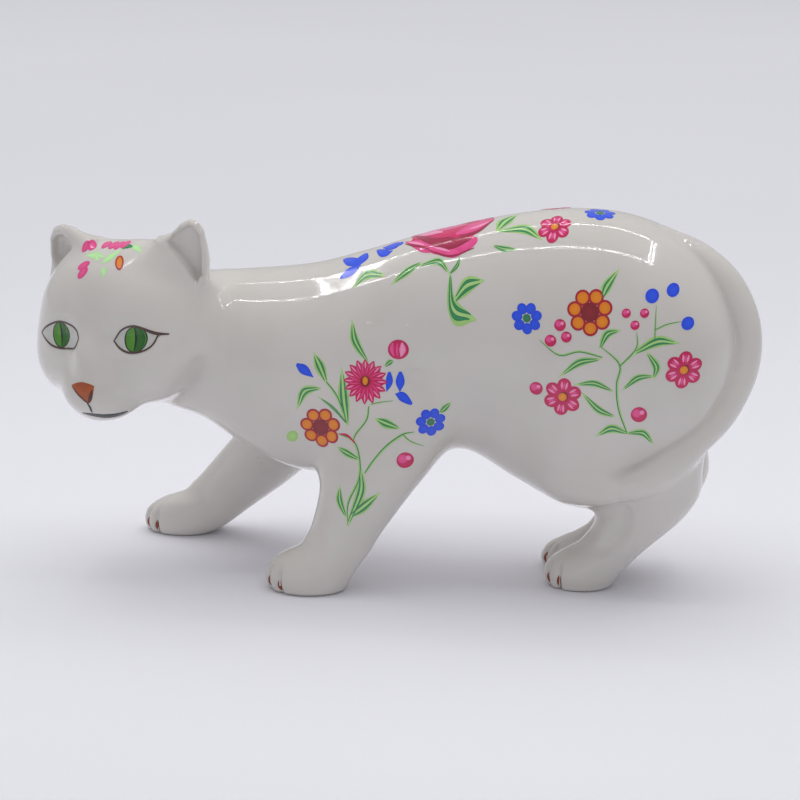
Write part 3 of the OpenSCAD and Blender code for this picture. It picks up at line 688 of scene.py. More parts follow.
# How high each enamel lies on the glaze; what lies higher covers what lies lower
LIFTS = {"leaf_light": 0.03, "leaf_pale": 0.03, "leaf_dark": 0.055, "red_dark": 0.05, "pink_deep": 0.06,
         "pink_mid": 0.08, "crimson": 0.095, "blue": 0.05, "orange": 0.08, "maroon": 0.1, "pink_light": 0.105,
         "leaf_core": 0.09, "gold": 0.13, "sclera": 0.03, "iris_rim": 0.05, "iris_light": 0.07,
         "iris_dark": 0.09, "slit": 0.12,
         "lash": 0.11, "nose_brown": 0.05, "nose_shade": 0.075, "lip": 0.07, "claw": 0.05, "claw_dark": 0.08}
# Strokes of one colour lie a hair apart where they cross, and every stroke's underside is in the glaze
HAIR, HAIRS, SUNK = 0.0004, 20, -0.07


def build_paint(name, slot, node, drawing, materials):
    """Makes an enamel piece from (colour, plane, patch) rows: each patch is a thin closed skin."""
    points, tops, colours, edges, normals = [], [], [], [], []
    planes = {}
    for i, (_, plane, patch) in enumerate(drawing):
        planes.setdefault(plane, []).append(i)
    laid = {}
    for plane, members in planes.items():
        flat = np.concatenate([drawing[i][2][0].reshape(-1, 2) for i in members])
        p, n, missed = lay(flat, plane)
        at = 0
        for i in members:
            size = drawing[i][2][0].shape[0] * drawing[i][2][0].shape[1]
            if not missed[at:at + size].any():
                laid[i] = (p[at:at + size], n[at:at + size])
            at += size
    slots = sorted({colour for colour, _, _ in drawing})
    sides = []
    for i, (colour, plane, (grid, edge, closed)) in enumerate(drawing):
        if i not in laid:
            continue
        p, n = laid[i]
        rows, cols = grid.shape[:2]
        size = rows * cols
        start = sum(len(x) for x in points)
        points += [p + n * (LIFTS[colour] + HAIR * (i % HAIRS)), p + n * SUNK]
        normals += [n, -n]
        edges += [edge.ravel(), edge.ravel()]
        a, b = np.meshgrid(np.arange(rows - 1), np.arange(cols if closed else cols - 1), indexing="ij")
        a, b = a.ravel(), b.ravel()
        c = (b + 1) % cols
        quad = np.stack((a * cols + b, a * cols + c, (a + 1) * cols + c, (a + 1) * cols + b), 1) + start
        first, second, third = (quad[:, k] - start for k in range(3))
        facing = np.cross(p[second] - p[first], p[third] - p[first])
        if (facing * n[first]).sum() < 0:
            quad = quad[:, ::-1]
        top = [tuple(q) for q in quad.tolist()]
        if closed:
            top.append(tuple(range(start, start + cols)))
            first, second, third = (p[k * cols // 3] for k in range(3))
            if np.cross(second - first, third - first) @ n[0] < 0:
                top[-1] = top[-1][::-1]
        bottom = [tuple(k + size for k in f[::-1]) for f in top]
        rim = []
        seen = {(f[k], f[(k + 1) % len(f)]) for f in top for k in range(len(f))}
        for x, y in seen:
            if (y, x) not in seen:
                rim.append((y, x, x + size, y + size))
        index = slots.index(colour)
        tops += top
        sides += [(f, index) for f in bottom + rim]
        colours += [index] * len(top)
    points, normals = np.concatenate(points), np.concatenate(normals)
    obj = new_object(name, points, tops + [f for f, _ in sides], [materials[s] for s in slots])
    mesh = obj.data
    mesh.polygons.foreach_set("material_index", colours + [k for _, k in sides])
    layer = mesh.attributes.new("edge", "FLOAT", "POINT")
    layer.data.foreach_set("value", np.concatenate(edges).astype(np.float32))
    set_normals(mesh, normals, len(tops))
    place(obj, slot, node)


# ---------------------------------------------------------------- drawings
# Rows, in mm: ("leaf", base, middle, tip, width), ("stem", points, width), ("buds", family, [(x, y, radius)]),
# ("stroke", colour, points, widths), ("dab", colour, centre, half axis, half axis), or a flower:
# (kind, centre, reach, petals), and for a tulip (kind, centre, half width, half height)
SHOULDER = [
    ("stem", [(-11.5, 38.5), (-8, 37.5), (-6.5, 34), (-6.5, 29), (-9, 23), (-9, 18)], 0.6),
    ("stem", [(-14.5, 50.5), (-12, 47), (-9.5, 41)], 0.6),
    ("stem", [(-5, 30.5), (-3, 33.5), (0, 37), (3.5, 39.5), (6, 40)], 0.6),
    ("stem", [(-4.5, 45.5), (-5, 42.5), (-7.5, 39), (-8, 37)], 0.5),
    ("stem", [(3.5, 39.5), (5, 38), (8, 36.5)], 0.4),
    ("stem", [(-4, 46), (-2, 46.5), (1, 47)], 0.3),
    ("leaf", (-5, 55.5), (-8, 60), (-9, 64.5), 2.0),
    ("leaf", (-14.5, 50.5), (-16, 54), (-17.5, 57), 2.4),
    ("leaf", (-16, 49), (-19.5, 48), (-21.5, 43.5), 2.2),
    ("leaf", (-9.5, 41), (-10.5, 47), (-11, 54), 2.6),
    ("leaf", (-9.5, 41), (-13, 44.5), (-16.5, 47), 0.8),
    ("leaf", (-1, 54.5), (0, 55.5), (1, 56), 1.4),
    ("leaf", (2.5, 41), (-0.5, 42), (-3, 43), 2.2),
    ("leaf", (11.5, 44), (12.5, 45), (14, 46.5), 1.6),
    ("leaf", (-6.5, 33.5), (-9.5, 34.5), (-12, 35.5), 1.8),
    ("leaf", (-9, 18), (-6, 26), (-6, 32), 2.2),
    ("leaf", (-9.5, 20), (-11, 23.5), (-11, 27), 1.8),
    ("leaf", (-8.5, 20), (-5.5, 22.5), (-1.5, 26), 2.6),
    ("dab", "leaf_light", (-23, 36.5), (1.4, 0.6), (0.2, -1.4)),
    ("stroke", "pink_deep", [(-11.5, 38.5), (-9.5, 38.5), (-7.5, 37)], (0.3, 0.5, 0.3)),
    ("stroke", "blue", [(-21, 54), (-19.5, 53), (-17.5, 51.5)], (1.4, 2.2, 0.2)),
    ("stroke", "blue", [(-0.5, 49), (0, 51), (0, 53)], (0.2, 1.6, 1)),
    ("stroke", "blue", [(2.5, 49), (2.5, 51), (2.5, 53)], (0.2, 2, 1.3)),
    ("stroke", "blue", [(1.5, 48.5), (3, 48), (5, 46.5)], (0.2, 2, 1.1)),
    ("blue_flower", (9.5, 42), 3.2, 7),
    ("orange_flower", (-16, 39.5), 4.8, 7),
    ("daisy", (-5.5, 51), 4.8, 16),
    ("tulip", (2, 58.5), 2.4, 2.2),
    ("buds", "pink", [(4, 33.5, 1.9)]),
]
HIP = [
    ("stem", [(54, 42), (52, 48), (51.5, 53.5), (52, 58), (47.5, 62)], 0.6),
    ("stem", [(52, 57.5), (55.5, 61.5), (55.5, 65)], 0.5),
    ("stem", [(59.5, 63), (59.5, 66), (59.5, 70.5)], 0.4),
    ("stem", [(59.5, 65.5), (62, 66.5), (65, 67)], 0.4),
    ("stem", [(48, 59.5), (43, 60.5), (38.5, 59.5), (34, 62.5)], 0.5),
    ("leaf", (47.5, 72), (48.5, 74.5), (51, 78), 2.2),
    ("leaf", (47.5, 61.5), (49, 64.5), (52, 65.5), 1.8),
    ("leaf", (55, 60.5), (60, 63), (65, 62.5), 2.4),
    ("leaf", (58, 60.5), (60, 57.5), (59.5, 54.5), 1.8),
    ("leaf", (53, 52.5), (56, 55), (60, 55.5), 1.6),
    ("leaf", (47.5, 59), (43, 58), (38.5, 54.5), 1.8),
    ("leaf", (50.5, 52), (46.5, 53.5), (42, 53), 1.6),
    ("leaf", (51, 46), (47.5, 47.5), (43.5, 51.5), 1.8),
    ("leaf", (54, 42), (50.5, 43), (47, 41), 2.2),
    ("leaf", (54, 42), (57.5, 42), (60, 39), 1.8),
    ("blue_flower", (31, 67), 3.4, 7),
    ("orange_flower", (45, 69), 5, 7),
    ("pink_flower", (66, 56.5), 4, 6),
    ("pink_flower", (39.5, 50), 4.2, 6),
    ("buds", "blue", [(58.5, 72.5, 1.5), (63, 73.5, 1.4), (66.5, 66.5, 1.4)]),
    ("buds", "pink", [(33.5, 51.5, 1.5), (56.5, 46.5, 1.8), (38.5, 66, 1.3), (36.5, 62.5, 1.3), (40, 63.5, 1.2),
                      (53, 69, 1), (57, 69, 1), (55, 66.5, 1)]),
]
BACK = [
    ("leaf", (-2.5, -11.5), (-6.5, -10.5), (-9.5, -12.5), 2.2),
    ("leaf", (6, -11), (3, -12), (-0.5, -13.5), 1.6),
    ("leaf", (6, -11.5), (10, -11.5), (13, -14), 1.4),
    ("leaf", (13, -14), (14, -17.5), (19.5, -19), 1.6),
    ("leaf", (13, -14), (14.5, -13), (15, -11.5), 1.0),
    ("leaf", (14.5, -17), (17, -16), (21, -16), 2.0),
    ("leaf", (23, -7), (24.5, -4), (27, -1), 3.8),
    ("leaf", (23.5, -7.5), (29, -8), (33.5, -11.5), 2.6),
    ("leaf", (22.5, -11), (25, -12), (28, -12.5), 1.2),
    ("dab", "pink_deep", (11, -4), (8.5, 0), (0, 5)),
    ("stroke", "pink_mid", [(1.5, -3), (6, -6.5), (9, -8.5)], (0.5, 3.4, 2.4)),
    ("stroke", "pink_mid", [(14, -5), (18, -3.5), (21.5, -1.5)], (2.2, 5, 0.8)),
    ("stroke", "pink_mid", [(6.5, 0.5), (10.5, -0.5), (15, -1)], (1.4, 3.2, 1.6)),
    ("dab", "pink_mid", (9.5, -8.5), (2.8, -1), (0, -1.5)),
    ("dab", "pink_mid", (13, -10), (2.6, -0.5), (0, -1.4)),
    ("dab", "pink_mid", (16, -9), (2.6, 0.5), (0.5, -1.6)),
    ("stroke", "crimson", [(1.5, -4), (4, -6), (7.5, -8)], (0.2, 0.7, 0.5)),
    ("stroke", "crimson", [(3.5, -0.5), (7.5, -5.5), (12.5, -6.5)], (1, 1.9, 1.2)),
    ("stroke", "crimson", [(7, -5.5), (12, -8), (16.5, -8)], (1.8, 3, 1.6)),
    ("stroke", "crimson", [(14.5, -6.5), (18.5, -6), (21.5, -2.5)], (0.6, 1, 0.3)),
    ("stroke", "crimson", [(6.5, -8), (12.5, -11), (18, -10.5)], (0.2, 0.4, 0.2)),
    ("stroke", "pink_light", [(4, -0.5), (6.5, -1), (9.5, -2.5)], (0.9, 3.4, 1.4)),
    ("stroke", "pink_light", [(16, -4.5), (18.5, -4), (20.5, -3)], (0.3, 1.2, 0.6)),
    ("stroke", "pink_light", [(2, -3.5), (4, -5), (6, -6.5)], (0.3, 0.9, 0.4)),
    ("stroke", "pink_light", [(8.5, -8), (10.5, -9), (12.5, -10)], (0.2, 0.6, 0.2)),
    ("stroke", "blue", [(-9, -7.5), (-8.5, -5.5), (-8, -3.5)], (0.3, 3, 2)),
    ("stroke", "blue", [(-8.5, -7.5), (-10.5, -5.5), (-12.5, -3)], (0.3, 2.8, 2)),
    ("stroke", "blue", [(-8.5, -7.5), (-10.5, -8.5), (-12.5, -9.5)], (0.5, 2.6, 1.1)),
    ("stroke", "blue", [(-5, -3), (-3, -5.5), (-1.5, -5.5)], (1.1, 2.6, 0.7)),
    ("stroke", "blue", [(-3.5, -2.5), (-1.5, -3), (0, -3)], (1.3, 3.6, 2.6)),
    ("pink_flower", (36, -8.5), 3.7, 6),
]
CROWN = [
    ("dab", "pink_mid", (5, 3), (1, 0), (0, 1.1)),
    ("dab", "pink_mid", (3.5, 2.5), (1, 0), (0, 1.2)),
    ("dab", "pink_deep", (4.5, 2.5), (1.1, 0), (0, 0.4)),
    ("dab", "pink_mid", (0.5, 1), (1, 0), (0, 1.8)),
    ("dab", "pink_mid", (-1.5, 1), (1, 0), (0, 1.9)),
    ("dab", "pink_mid", (-3, 1), (1, 0), (0, 1.9)),
    ("dab", "pink_mid", (-4.5, 0.5), (1, 0), (0, 1.8)),
    ("dab", "pink_deep", (-0.5, 1), (0.9, 0), (0, 0.7)),
    ("dab", "pink_deep", (-3.5, 0.5), (1.2, 0), (0, 0.7)),
    ("dab", "pink_mid", (3, 7.5), (1.5, 0.5), (-0.4, 0.8)),
    ("dab", "pink_deep", (3, 7.5), (0.9, 0.3), (-0.1, 0.3)),
    ("dab", "pink_mid", (2.5, 9), (1.2, 0.6), (-0.4, 0.9)),
    ("dab", "pink_deep", (2.5, 9), (0.7, 0.4), (-0.1, 0.3)),
    ("stroke", "leaf_pale", [(3.5, 5), (1, 5), (-1.5, 5.5)], (0.5, 2, 0.3)),
    ("stroke", "leaf_pale", [(1, 5), (0, 6), (-0.5, 6.5)], (0.3, 1.2, 0.3)),
    ("stroke", "leaf_pale", [(-2, 7), (-3, 5.5), (-4.5, 3)], (0.4, 2, 0.5)),
    ("stroke", "leaf_pale", [(-2.5, 8), (-3, 8.5), (-3.5, 9.5)], (0.4, 1.6, 0.4)),
    ("stroke", "leaf_dark", [(-5, 2.5), (-5.5, 1.5), (-7, 1.5)], (0.3, 1.8, 0.4)),
    ("stroke", "leaf_pale", [(-6.5, 1.5), (-8, 1.5), (-10, 2.5)], (0.4, 1.8, 0.3)),
    ("dab", "red_dark", (-6, 6), (-1.1, 0), (-0.5, 1.6)),
    ("dab", "orange", (-6, 6), (-0.7, 0), (-0.4, 1.2)),
]
# The part of the back's spray on the far side of the spine
BACK_UNSEEN = [
    ("stroke", "pink_mid", [(-7, 4.2), (-4.5, 5), (-1.5, 4.6)], (0.5, 2.2, 0.5)),
    ("stroke", "leaf_light", [(16, 3.5), (20, 6), (24, 9)], (0.6, 2.6, 0.4)),
    ("stroke", "leaf_dark", [(16.5, 4), (20, 6.6), (23, 8.6)], (0.5, 0.6, 0.2)),
    ("stroke", "leaf_light", [(8, 4.5), (5, 7), (1.5, 10)], (0.6, 2.4, 0.4)),
    ("stroke", "leaf_dark", [(7.5, 5), (5, 7.3), (2.5, 9.3)], (0.5, 0.6, 0.2)),
    ("stroke", "leaf_light", [(19, 3), (24, 4.6), (28, 7)], (0.7, 0.6, 0.4)),
    ("stroke", "leaf_light", [(10, 3.5), (9, 8), (8, 11)], (0.7, 0.6, 0.4)),
    ("stroke", "pink_deep", [(4, -2), (5, 1.4), (9, 3.6), (13, 3.8)], (3, 5, 5, 4)),
    ("stroke", "pink_deep", [(12, 3.6), (16, 3), (19.4, 0), (20.4, -3)], (4, 5, 4, 2)),
    ("stroke", "pink_mid", [(5.2, 0.5), (8, 2.6), (11.5, 3.4)], (1.4, 2.6, 1.2)),
    ("stroke", "pink_mid", [(14, 3), (17, 1.6), (19, -0.8)], (1.2, 2.4, 1)),
    ("stroke", "pink_light", [(6, 1.5), (8, 3), (10, 3.8)], (0.3, 0.8, 0.3)),
    ("stroke", "pink_light", [(15, 3), (17, 2), (18.4, 0.4)], (0.3, 0.8, 0.3)),
    ("stroke", "pink_deep", [(8, -2), (10, 0.2), (13.4, 0.4), (15.6, -1.4)], (1.4, 2.4, 2.4, 1.4)),
    ("blue_flower", (45.8, -2.6), 3.5, 7),
    ("blue_flower", (8, 13), 3.2, 7),
    ("pink_flower", (35.5, 4.6), 3.7, 6),
]


# ---------------------------------------------------------------- composing flowers
# Which node of a spray each colour is in, unless a flower says otherwise; the rest are pink
FAMILY = {"leaf_light": "leaves", "leaf_pale": "leaves", "leaf_dark": "leaves", "blue": "blue",
          "leaf_core": "blue", "orange": "orange", "red_dark": "orange", "maroon": "orange"}


def mix(a, b, t):
    return tuple(np.array(a) * (1 - t) + np.array(b) * t)


def stroke(colour, points, widths, family=None):
    return [(family or FAMILY.get(colour, "pink"), colour, blade(points, widths))]


def dab(colour, centre, a, b, family=None):
    return [(family or FAMILY.get(colour, "pink"), colour, oval(centre, a, b))]


def disc(colour, centre, r, family=None):
    return dab(colour, centre, (r, 0), (0, r), family)


def beside(line, offset):
    """The line moved sideways, by less at its ends."""
    line = np.array(line, float)
    run = line[-1] - line[0]
    across = np.array((-run[1], run[0])) / np.linalg.norm(run)
    ease = np.sin(np.linspace(0.15, 0.85, len(line)) * math.pi)
    return line + across * offset * ease[:, None]


def leaf(base, middle, tip, width):
    """A pale leaf with a dark stroke on each side of its middle."""
    out = stroke("leaf_light", [base, middle, tip], (0.3 * width, width, 0.12))
    for side in (-0.24, 0.2):
        vein = beside([mix(base, middle, 0.1), middle, mix(middle, tip, 0.75)], side * width)
        out += stroke("leaf_dark", vein, (0.16, 0.12 + 0.16 * width, 0.1))
    return out


def stem(points, width):
    """A pale stem that thins at its end, with a dark stroke beside its middle."""
    taper = [width] * (len(points) - 1) + [0.4 * width]
    dark = [0.4 * t for t in taper]
    return stroke("leaf_light", points, taper) + stroke("leaf_dark", beside(points, 0.2 * width), dark)


def buds(family, places):
    out = []
    for x, y, r in places:
        if family == "blue":
            out += disc("blue", (x, y), r)
        else:
            # Each pink bud is shaded like a ball: a dark round, a mid pink disc up and to the left as a painted lit
            # side, and a pale pink dot up and to the right as a painted highlight
            out += disc("pink_deep", (x, y), r)
            out += disc("pink_mid", (x - 0.3 * r, y + 0.2 * r), 0.55 * r)
            out += disc("pink_light", (x + 0.35 * r, y + 0.3 * r), 0.3 * r)
    return out


def petals(centre, count, start, out, half_out, half_side):
    """A round flower's petals: centre, half axis outward, half axis sideways."""
    ring = []
    for k in range(count):
        q = start + 2 * math.pi * k / count
        away, side = np.array((math.cos(q), math.sin(q))), np.array((-math.sin(q), math.cos(q)))
        ring.append((np.array(centre) + away * out, away * half_out, side * half_side))
    return ring


def orange_flower(centre, reach, count):
    ring = petals(centre, count, 0.3, reach * 0.68, reach * 0.34, reach * 0.34)
    out = []
    for at, a, b in ring:
        out += dab("red_dark", at, a, b)
    out += disc("maroon", centre, reach * 0.4)
    for at, a, b in ring:
        out += dab("orange", at, a * 0.7, b * 0.72)
    return out


def blue_flower(centre, reach, count):
    out = []
    for at, a, b in petals(centre, count, 0.3, reach * 0.66, reach * 0.36, reach * 0.33):
        out += dab("blue", at, a, b)
    return out + disc("leaf_core", centre, reach * 0.26)


def pink_flower(centre, reach, count):
    """A flower of round petals, each with a darker stroke between two pale ones, and a gold heart."""
    c = np.array(centre)
    ring = petals(centre, count, 0.4, reach * 0.62, reach * 0.42, reach * 0.38)
    out = disc("pink_deep", centre, 1.6)
    for at, a, b in ring:
        out += dab("pink_deep", at, a, b)
    for at, _, _ in ring:
        away = at - c
        side = np.array((-away[1], away[0])) / np.linalg.norm(away)
        for k, colour in ((-1, "pink_light"), (0, "pink_mid"), (1, "pink_light")):
            start, end = c + away * 0.72 + side * 0.42 * k, c + away * 1.32 + side * 0.62 * k
            out += stroke(colour, [start, (start + end) / 2, end], (0.2, 0.5, 0.26))
    heart = reach * 0.22
    out += dab("maroon", c + (0.3, 0.1), (heart, 0), (0, heart * 1.2), "pink")
    return out + disc("gold", c, heart)


def daisy(centre, reach, count):
    """A daisy of narrow petals round a gold heart."""
    c = np.array(centre)
    turns = [2 * math.pi * k / count for k in range(count)]
    tips = [c + reach * np.array((math.cos(q), math.sin(q))) for q in turns]
    out = disc("pink_deep", centre, reach * 0.66)
    for tip in tips:
        out += stroke("pink_deep", [mix(c, tip, 0.35), mix(c, tip, 0.7), tip], (1.1, 1.7, 0.7))
    for tip in tips:
        side = np.array((-(tip[1] - c[1]), tip[0] - c[0])) * 0.1
        shaded = [mix(c, tip, 0.34) + side, mix(c, tip, 0.6) + side * 1.3, mix(c, tip, 0.85) + side]
        lit = [mix(c, tip, 0.6), mix(c, tip, 0.78), mix(c, tip, 0.95)]
        out += stroke("pink_light", lit, (0.12, 0.34, 0.2))
        out += stroke("pink_mid", shaded, (0.1, 0.26, 0.1))
    out += dab("maroon", centre, (1.15, 0), (0, 1.25), "pink")
    return out + dab("gold", c + (0, 0.1), (0.62, 0), (0, 0.95))


def tulip(centre, half_width, half_height):
    """A closed flower: a dark round with strokes up it, placed and sized as shares of its half width."""
    c, a, b = np.array(centre), np.array((half_width, 0)), np.array((0, -half_height))
    out = dab("pink_deep", centre, a, b)
    for x, w, colour in ((-0.55, 1.0, "pink_mid"), (0.35, 1.5, "pink_light"), (-0.12, 0.5, "pink_mid")):
        line = [c + a * x - b * 0.6, c + a * x * 1.15, c + a * x * 0.8 + b * 0.62]
        out += stroke(colour, line, (w * 0.5, w, w * 0.4))
    return out + stroke("pink_deep", [c + a * 0.02 - b * 0.8, c + a * 0.1, c + b * 0.75], (0.2, 0.4, 0.2))


MAKERS = {"leaf": leaf, "stem": stem, "buds": buds, "stroke": stroke, "dab": dab, "daisy": daisy, "tulip": tulip,
          "orange_flower": orange_flower, "blue_flower": blue_flower, "pink_flower": pink_flower}


def expand(rows):
    """Turns a spray's rows into (family, colour, patch)."""
    out = []
    for kind, *values in rows:
        out += MAKERS[kind](*values)
    return out


def spray(rows, plane, shift, nodes, materials):
    """Builds a spray's pieces, one to a colour family. nodes maps family to (node, slot); the slot is not used."""
    move = np.array(shift, float)
    for family, (node, slot) in nodes.items():
        drawing = [(colour, plane, (grid + move, edge, closed))
                   for own, colour, (grid, edge, closed) in rows if own == family]
        build_paint("enamel_" + node, slot, node, drawing, materials)


# ---------------------------------------------------------------- face and claws
EYES = {
    "right_eye": dict(
        upper=[(15.5, 3.2), (13.8, 4.5), (11.1, 5.7), (8.4, 6.3), (5.2, 5.8), (3, 4.7), (2.1, 3.0)],
        lower=[(15.5, 3.2), (13.2, 1.8), (11.2, 0.8), (8.8, 0.35), (6.2, 0.4), (3.5, 0.9), (2.1, 3.0)],
        iris=((8.4, 3.35), (2.7, 0.0), (0, 2.9)), slit=[(8.6, 5.9), (8.4, 3.4), (8.3, 1)],
        lid=(0.3, 0.38, 0.42, 0.42, 0.42, 0.36, 0.3)),
    "left_eye": dict(
        upper=[(-6.2, 2.0), (-7.6, 3.9), (-9.3, 4.8), (-11.1, 4.95), (-12.9, 4.3), (-14.6, 3.4), (-16, 2.7),
               (-17.7, 2.1)],
        lower=[(-6.2, 2.0), (-7.4, 0.5), (-9.1, -0.5), (-10.8, -0.8), (-12.5, -0.7), (-14.1, -0.2), (-15.3, 0.8),
               (-16.1, 2.6)],
        iris=((-11.25, 2.05), (2.8, 0.0), (0, 2.85)), slit=[(-11.1, 4.7), (-11.2, 2.0), (-11, -0.6)],
        lid=(0.3, 0.38, 0.42, 0.42, 0.5, 0.62, 0.6, 0.4)),
}
LOWER_LID = (0.3, 0.36, 0.4, 0.42, 0.4, 0.36, 0.3)
# The iris's dark half: points of its outer line and heights of its middle line, as shares of its half axes
DARK_HALF = ((0, 0.93), (0.55, 0.7), (0.8, 0), (0.55, -0.7), (0, -0.93))
IRIS_MIDDLE = (0.93, 0.4, 0, -0.4, -0.93)
NOSE_TOP = [(3.6, -6.8), (1.9, -6.15), (0.1, -5.9), (-1.5, -6.3), (-2.7, -6.9)]
NOSE_LOW = [(3.6, -6.8), (1.6, -8.3), (0, -9.8), (-1.0, -10.8), (-2.0, -9.8), (-2.5, -8.2), (-2.7, -6.9)]
NOSTRIL_FAR = [(3.4, -6.95), (1.5, -8.5), (0, -9.9), (-0.9, -10.7)]
NOSTRIL_NEAR = [(-1.3, -10.3), (-1.8, -9.2), (-2.2, -7.8)]
PHILTRUM = [(-0.7, -10.7), (-0.9, -11.8), (-0.6, -13.3)]
MOUTH = [(2.2, -13.6), (-0.3, -14.1), (-2.7, -14.9), (-4.4, -15.15), (-5.8, -15.0)]


def build_face(materials):
    for name, e in EYES.items():
        (cx, cy), (a, _), (_, b) = e["iris"]
        half = [(cx - a * x, cy + b * y) for x, y in DARK_HALF]
        middle = [(cx, cy + b * y) for y in IRIS_MIDDLE]
        drawing = [("sclera", "face", lens(e["upper"], e["lower"])),
                   ("iris_rim", "face", oval((cx, cy), (a, 0), (0, b), 32)),
                   ("iris_light", "face", oval((cx, cy), (a - 0.28, 0), (0, b - 0.2), 32)),
                   ("iris_dark", "face", lens(half, middle)),
                   ("slit", "face", blade(e["slit"], (0.2, 0.42, 0.2))),
                   ("lash", "face", blade(e["upper"], e["lid"])),
                   ("lash", "face", blade(e["lower"], LOWER_LID))]
        build_paint("enamel_" + name, "iris_green", name, drawing, materials)
    drawing = [("nose_brown", "face", lens(NOSE_TOP, NOSE_LOW)),
               ("nose_shade", "face", blade(NOSTRIL_FAR, (0.14, 0.34, 0.34, 0.3))),
               ("nose_shade", "face", blade(NOSTRIL_NEAR, (0.7, 0.8, 0.3)))]
    build_paint("enamel_nose", "nose_brown", "nose", drawing, materials)
    drawing = [("lip", "face", blade(PHILTRUM, (0.34, 0.5, 0.34))),
               ("lip", "face", blade(MOUTH, (0.35, 0.95, 1.3, 1.1, 0.45)))]
    build_paint("enamel_mouth", "ink_black", "mouth", drawing, materials)


CLAW = [(0.1, 0.7), (0, 1.7), (-0.1, 2.8), (0, 4.0)]
CLAW_SHADE = [(0.3, 1.0), (0.15, 2.0), (0, 3.1)]


def build_claws(materials):
    for name, (front, middle, half, _) in PAWS.items():
        drawing = []
        for bearing in TOE_BEARINGS:
            plane = (front + TOE_CENTRE * half, middle, math.radians(bearing))
            drawing.append(("claw", plane, blade(CLAW, (0.6, 1.15, 0.85, 0.2))))
            drawing.append(("claw_dark", plane, blade(CLAW_SHADE, (0.3, 0.45, 0.2))))
        build_paint("enamel_%s_claws" % name, "claw_brown", name + "_claws", drawing, materials)


# ---------------------------------------------------------------- materials
def nodes_of(name):
    m = bpy.data.materials.new(name)
    m.use_nodes = True
    tree = m.node_tree
    return m, tree, tree.nodes["Principled BSDF"]


def srgb(r, g, b):
    """A colour as it looks, 0 to 255, in the renderer's linear values."""
    out = []
    for c in (r / 255, g / 255, b / 255):
        out.append(c / 12.92 if c <= 0.04045 else ((c + 0.055) / 1.055) ** 2.4)
    return (*out, 1)


def noise(tree, scale, detail=2.0):
    where = tree.nodes.new("ShaderNodeTexCoord")
    n = tree.nodes.new("ShaderNodeTexNoise")
    n.inputs["Scale"].default_value = scale
    n.inputs["Detail"].default_value = detail
    tree.links.new(where.outputs["Object"], n.inputs["Vector"])
    return n.outputs["Fac"]


def ramp_node(tree, fac, stops):
    r = tree.nodes.new("ShaderNodeValToRGB")
    e = r.color_ramp.elements
    e[0].position, e[0].color = stops[0]
    e[1].position, e[1].color = stops[-1]
    for place_, colour in stops[1:-1]:
        e.new(place_).color = colour
    tree.links.new(fac, r.inputs["Fac"])
    return r.outputs["Color"]


def bump(tree, shader, fac, strength, distance):
    b = tree.nodes.new("ShaderNodeBump")
    b.inputs["Strength"].default_value = strength
    b.inputs["Distance"].default_value = distance
    tree.links.new(fac, b.inputs["Height"])
    tree.links.new(b.outputs["Normal"], shader.inputs["Normal"])


def glaze_material():
    """White glazed porcelain: faint warm and cool drifts in the white, a slightly uneven glassy surface."""
    m, tree, shader = nodes_of("glazed_porcelain")
    drift = noise(tree, 38, 3)
    colour = ramp_node(tree, drift, [(0.3, srgb(211, 207, 201)), (0.5, srgb(217, 213, 208)),
                                     (0.7, srgb(220, 215, 209))])
    tree.links.new(colour, shader.inputs["Base Color"])
    rough = ramp_node(tree, noise(tree, 160, 2), [(0.3, (0.07, 0.07, 0.07, 1)), (0.7, (0.11, 0.11, 0.11, 1))])
    tree.links.new(rough, shader.inputs["Roughness"])
    shader.inputs["IOR"].default_value = 1.52
    shader.inputs["Coat Weight"].default_value = 0.6
    shader.inputs["Coat Roughness"].default_value = 0.03
    bump(tree, shader, noise(tree, 90, 1), 0.06, 0.0006)
    return m


def math_node(tree, operation, value, *amounts):
    """Works on a value with fixed amounts, or with a socket as the last one."""
    m = tree.nodes.new("ShaderNodeMath")
    m.operation = operation
    tree.links.new(value, m.inputs[0])
    for socket, amount in zip(m.inputs[1:], amounts):
        if isinstance(amount, (int, float)):
            socket.default_value = amount
        else:
            tree.links.new(amount, socket)
    return m.outputs[0]


def enamel_material(name, deep, pale, streak=0.35, rough=0.16):
    """Overglaze enamel: mottled, and thicker and darker towards a stroke's edge."""
    m, tree, shader = nodes_of("enamel_" + name)
    attribute = tree.nodes.new("ShaderNodeAttribute")
    attribute.attribute_name = "edge"
    thin = math_node(tree, "ADD", math_node(tree, "MULTIPLY", attribute.outputs["Fac"], -0.45), 0.62)
    mixed = math_node(tree, "MULTIPLY_ADD", noise(tree, 900, 2), streak, thin)
    colour = ramp_node(tree, mixed, [(0.2, srgb(*deep)), (0.95, srgb(*pale))])
    tree.links.new(colour, shader.inputs["Base Color"])
    shader.inputs["Roughness"].default_value = rough
    shader.inputs["Coat Weight"].default_value = 0.5
    shader.inputs["Coat Roughness"].default_value = 0.05
    bump(tree, shader, noise(tree, 700, 2), 0.15, 0.00008)
    return m


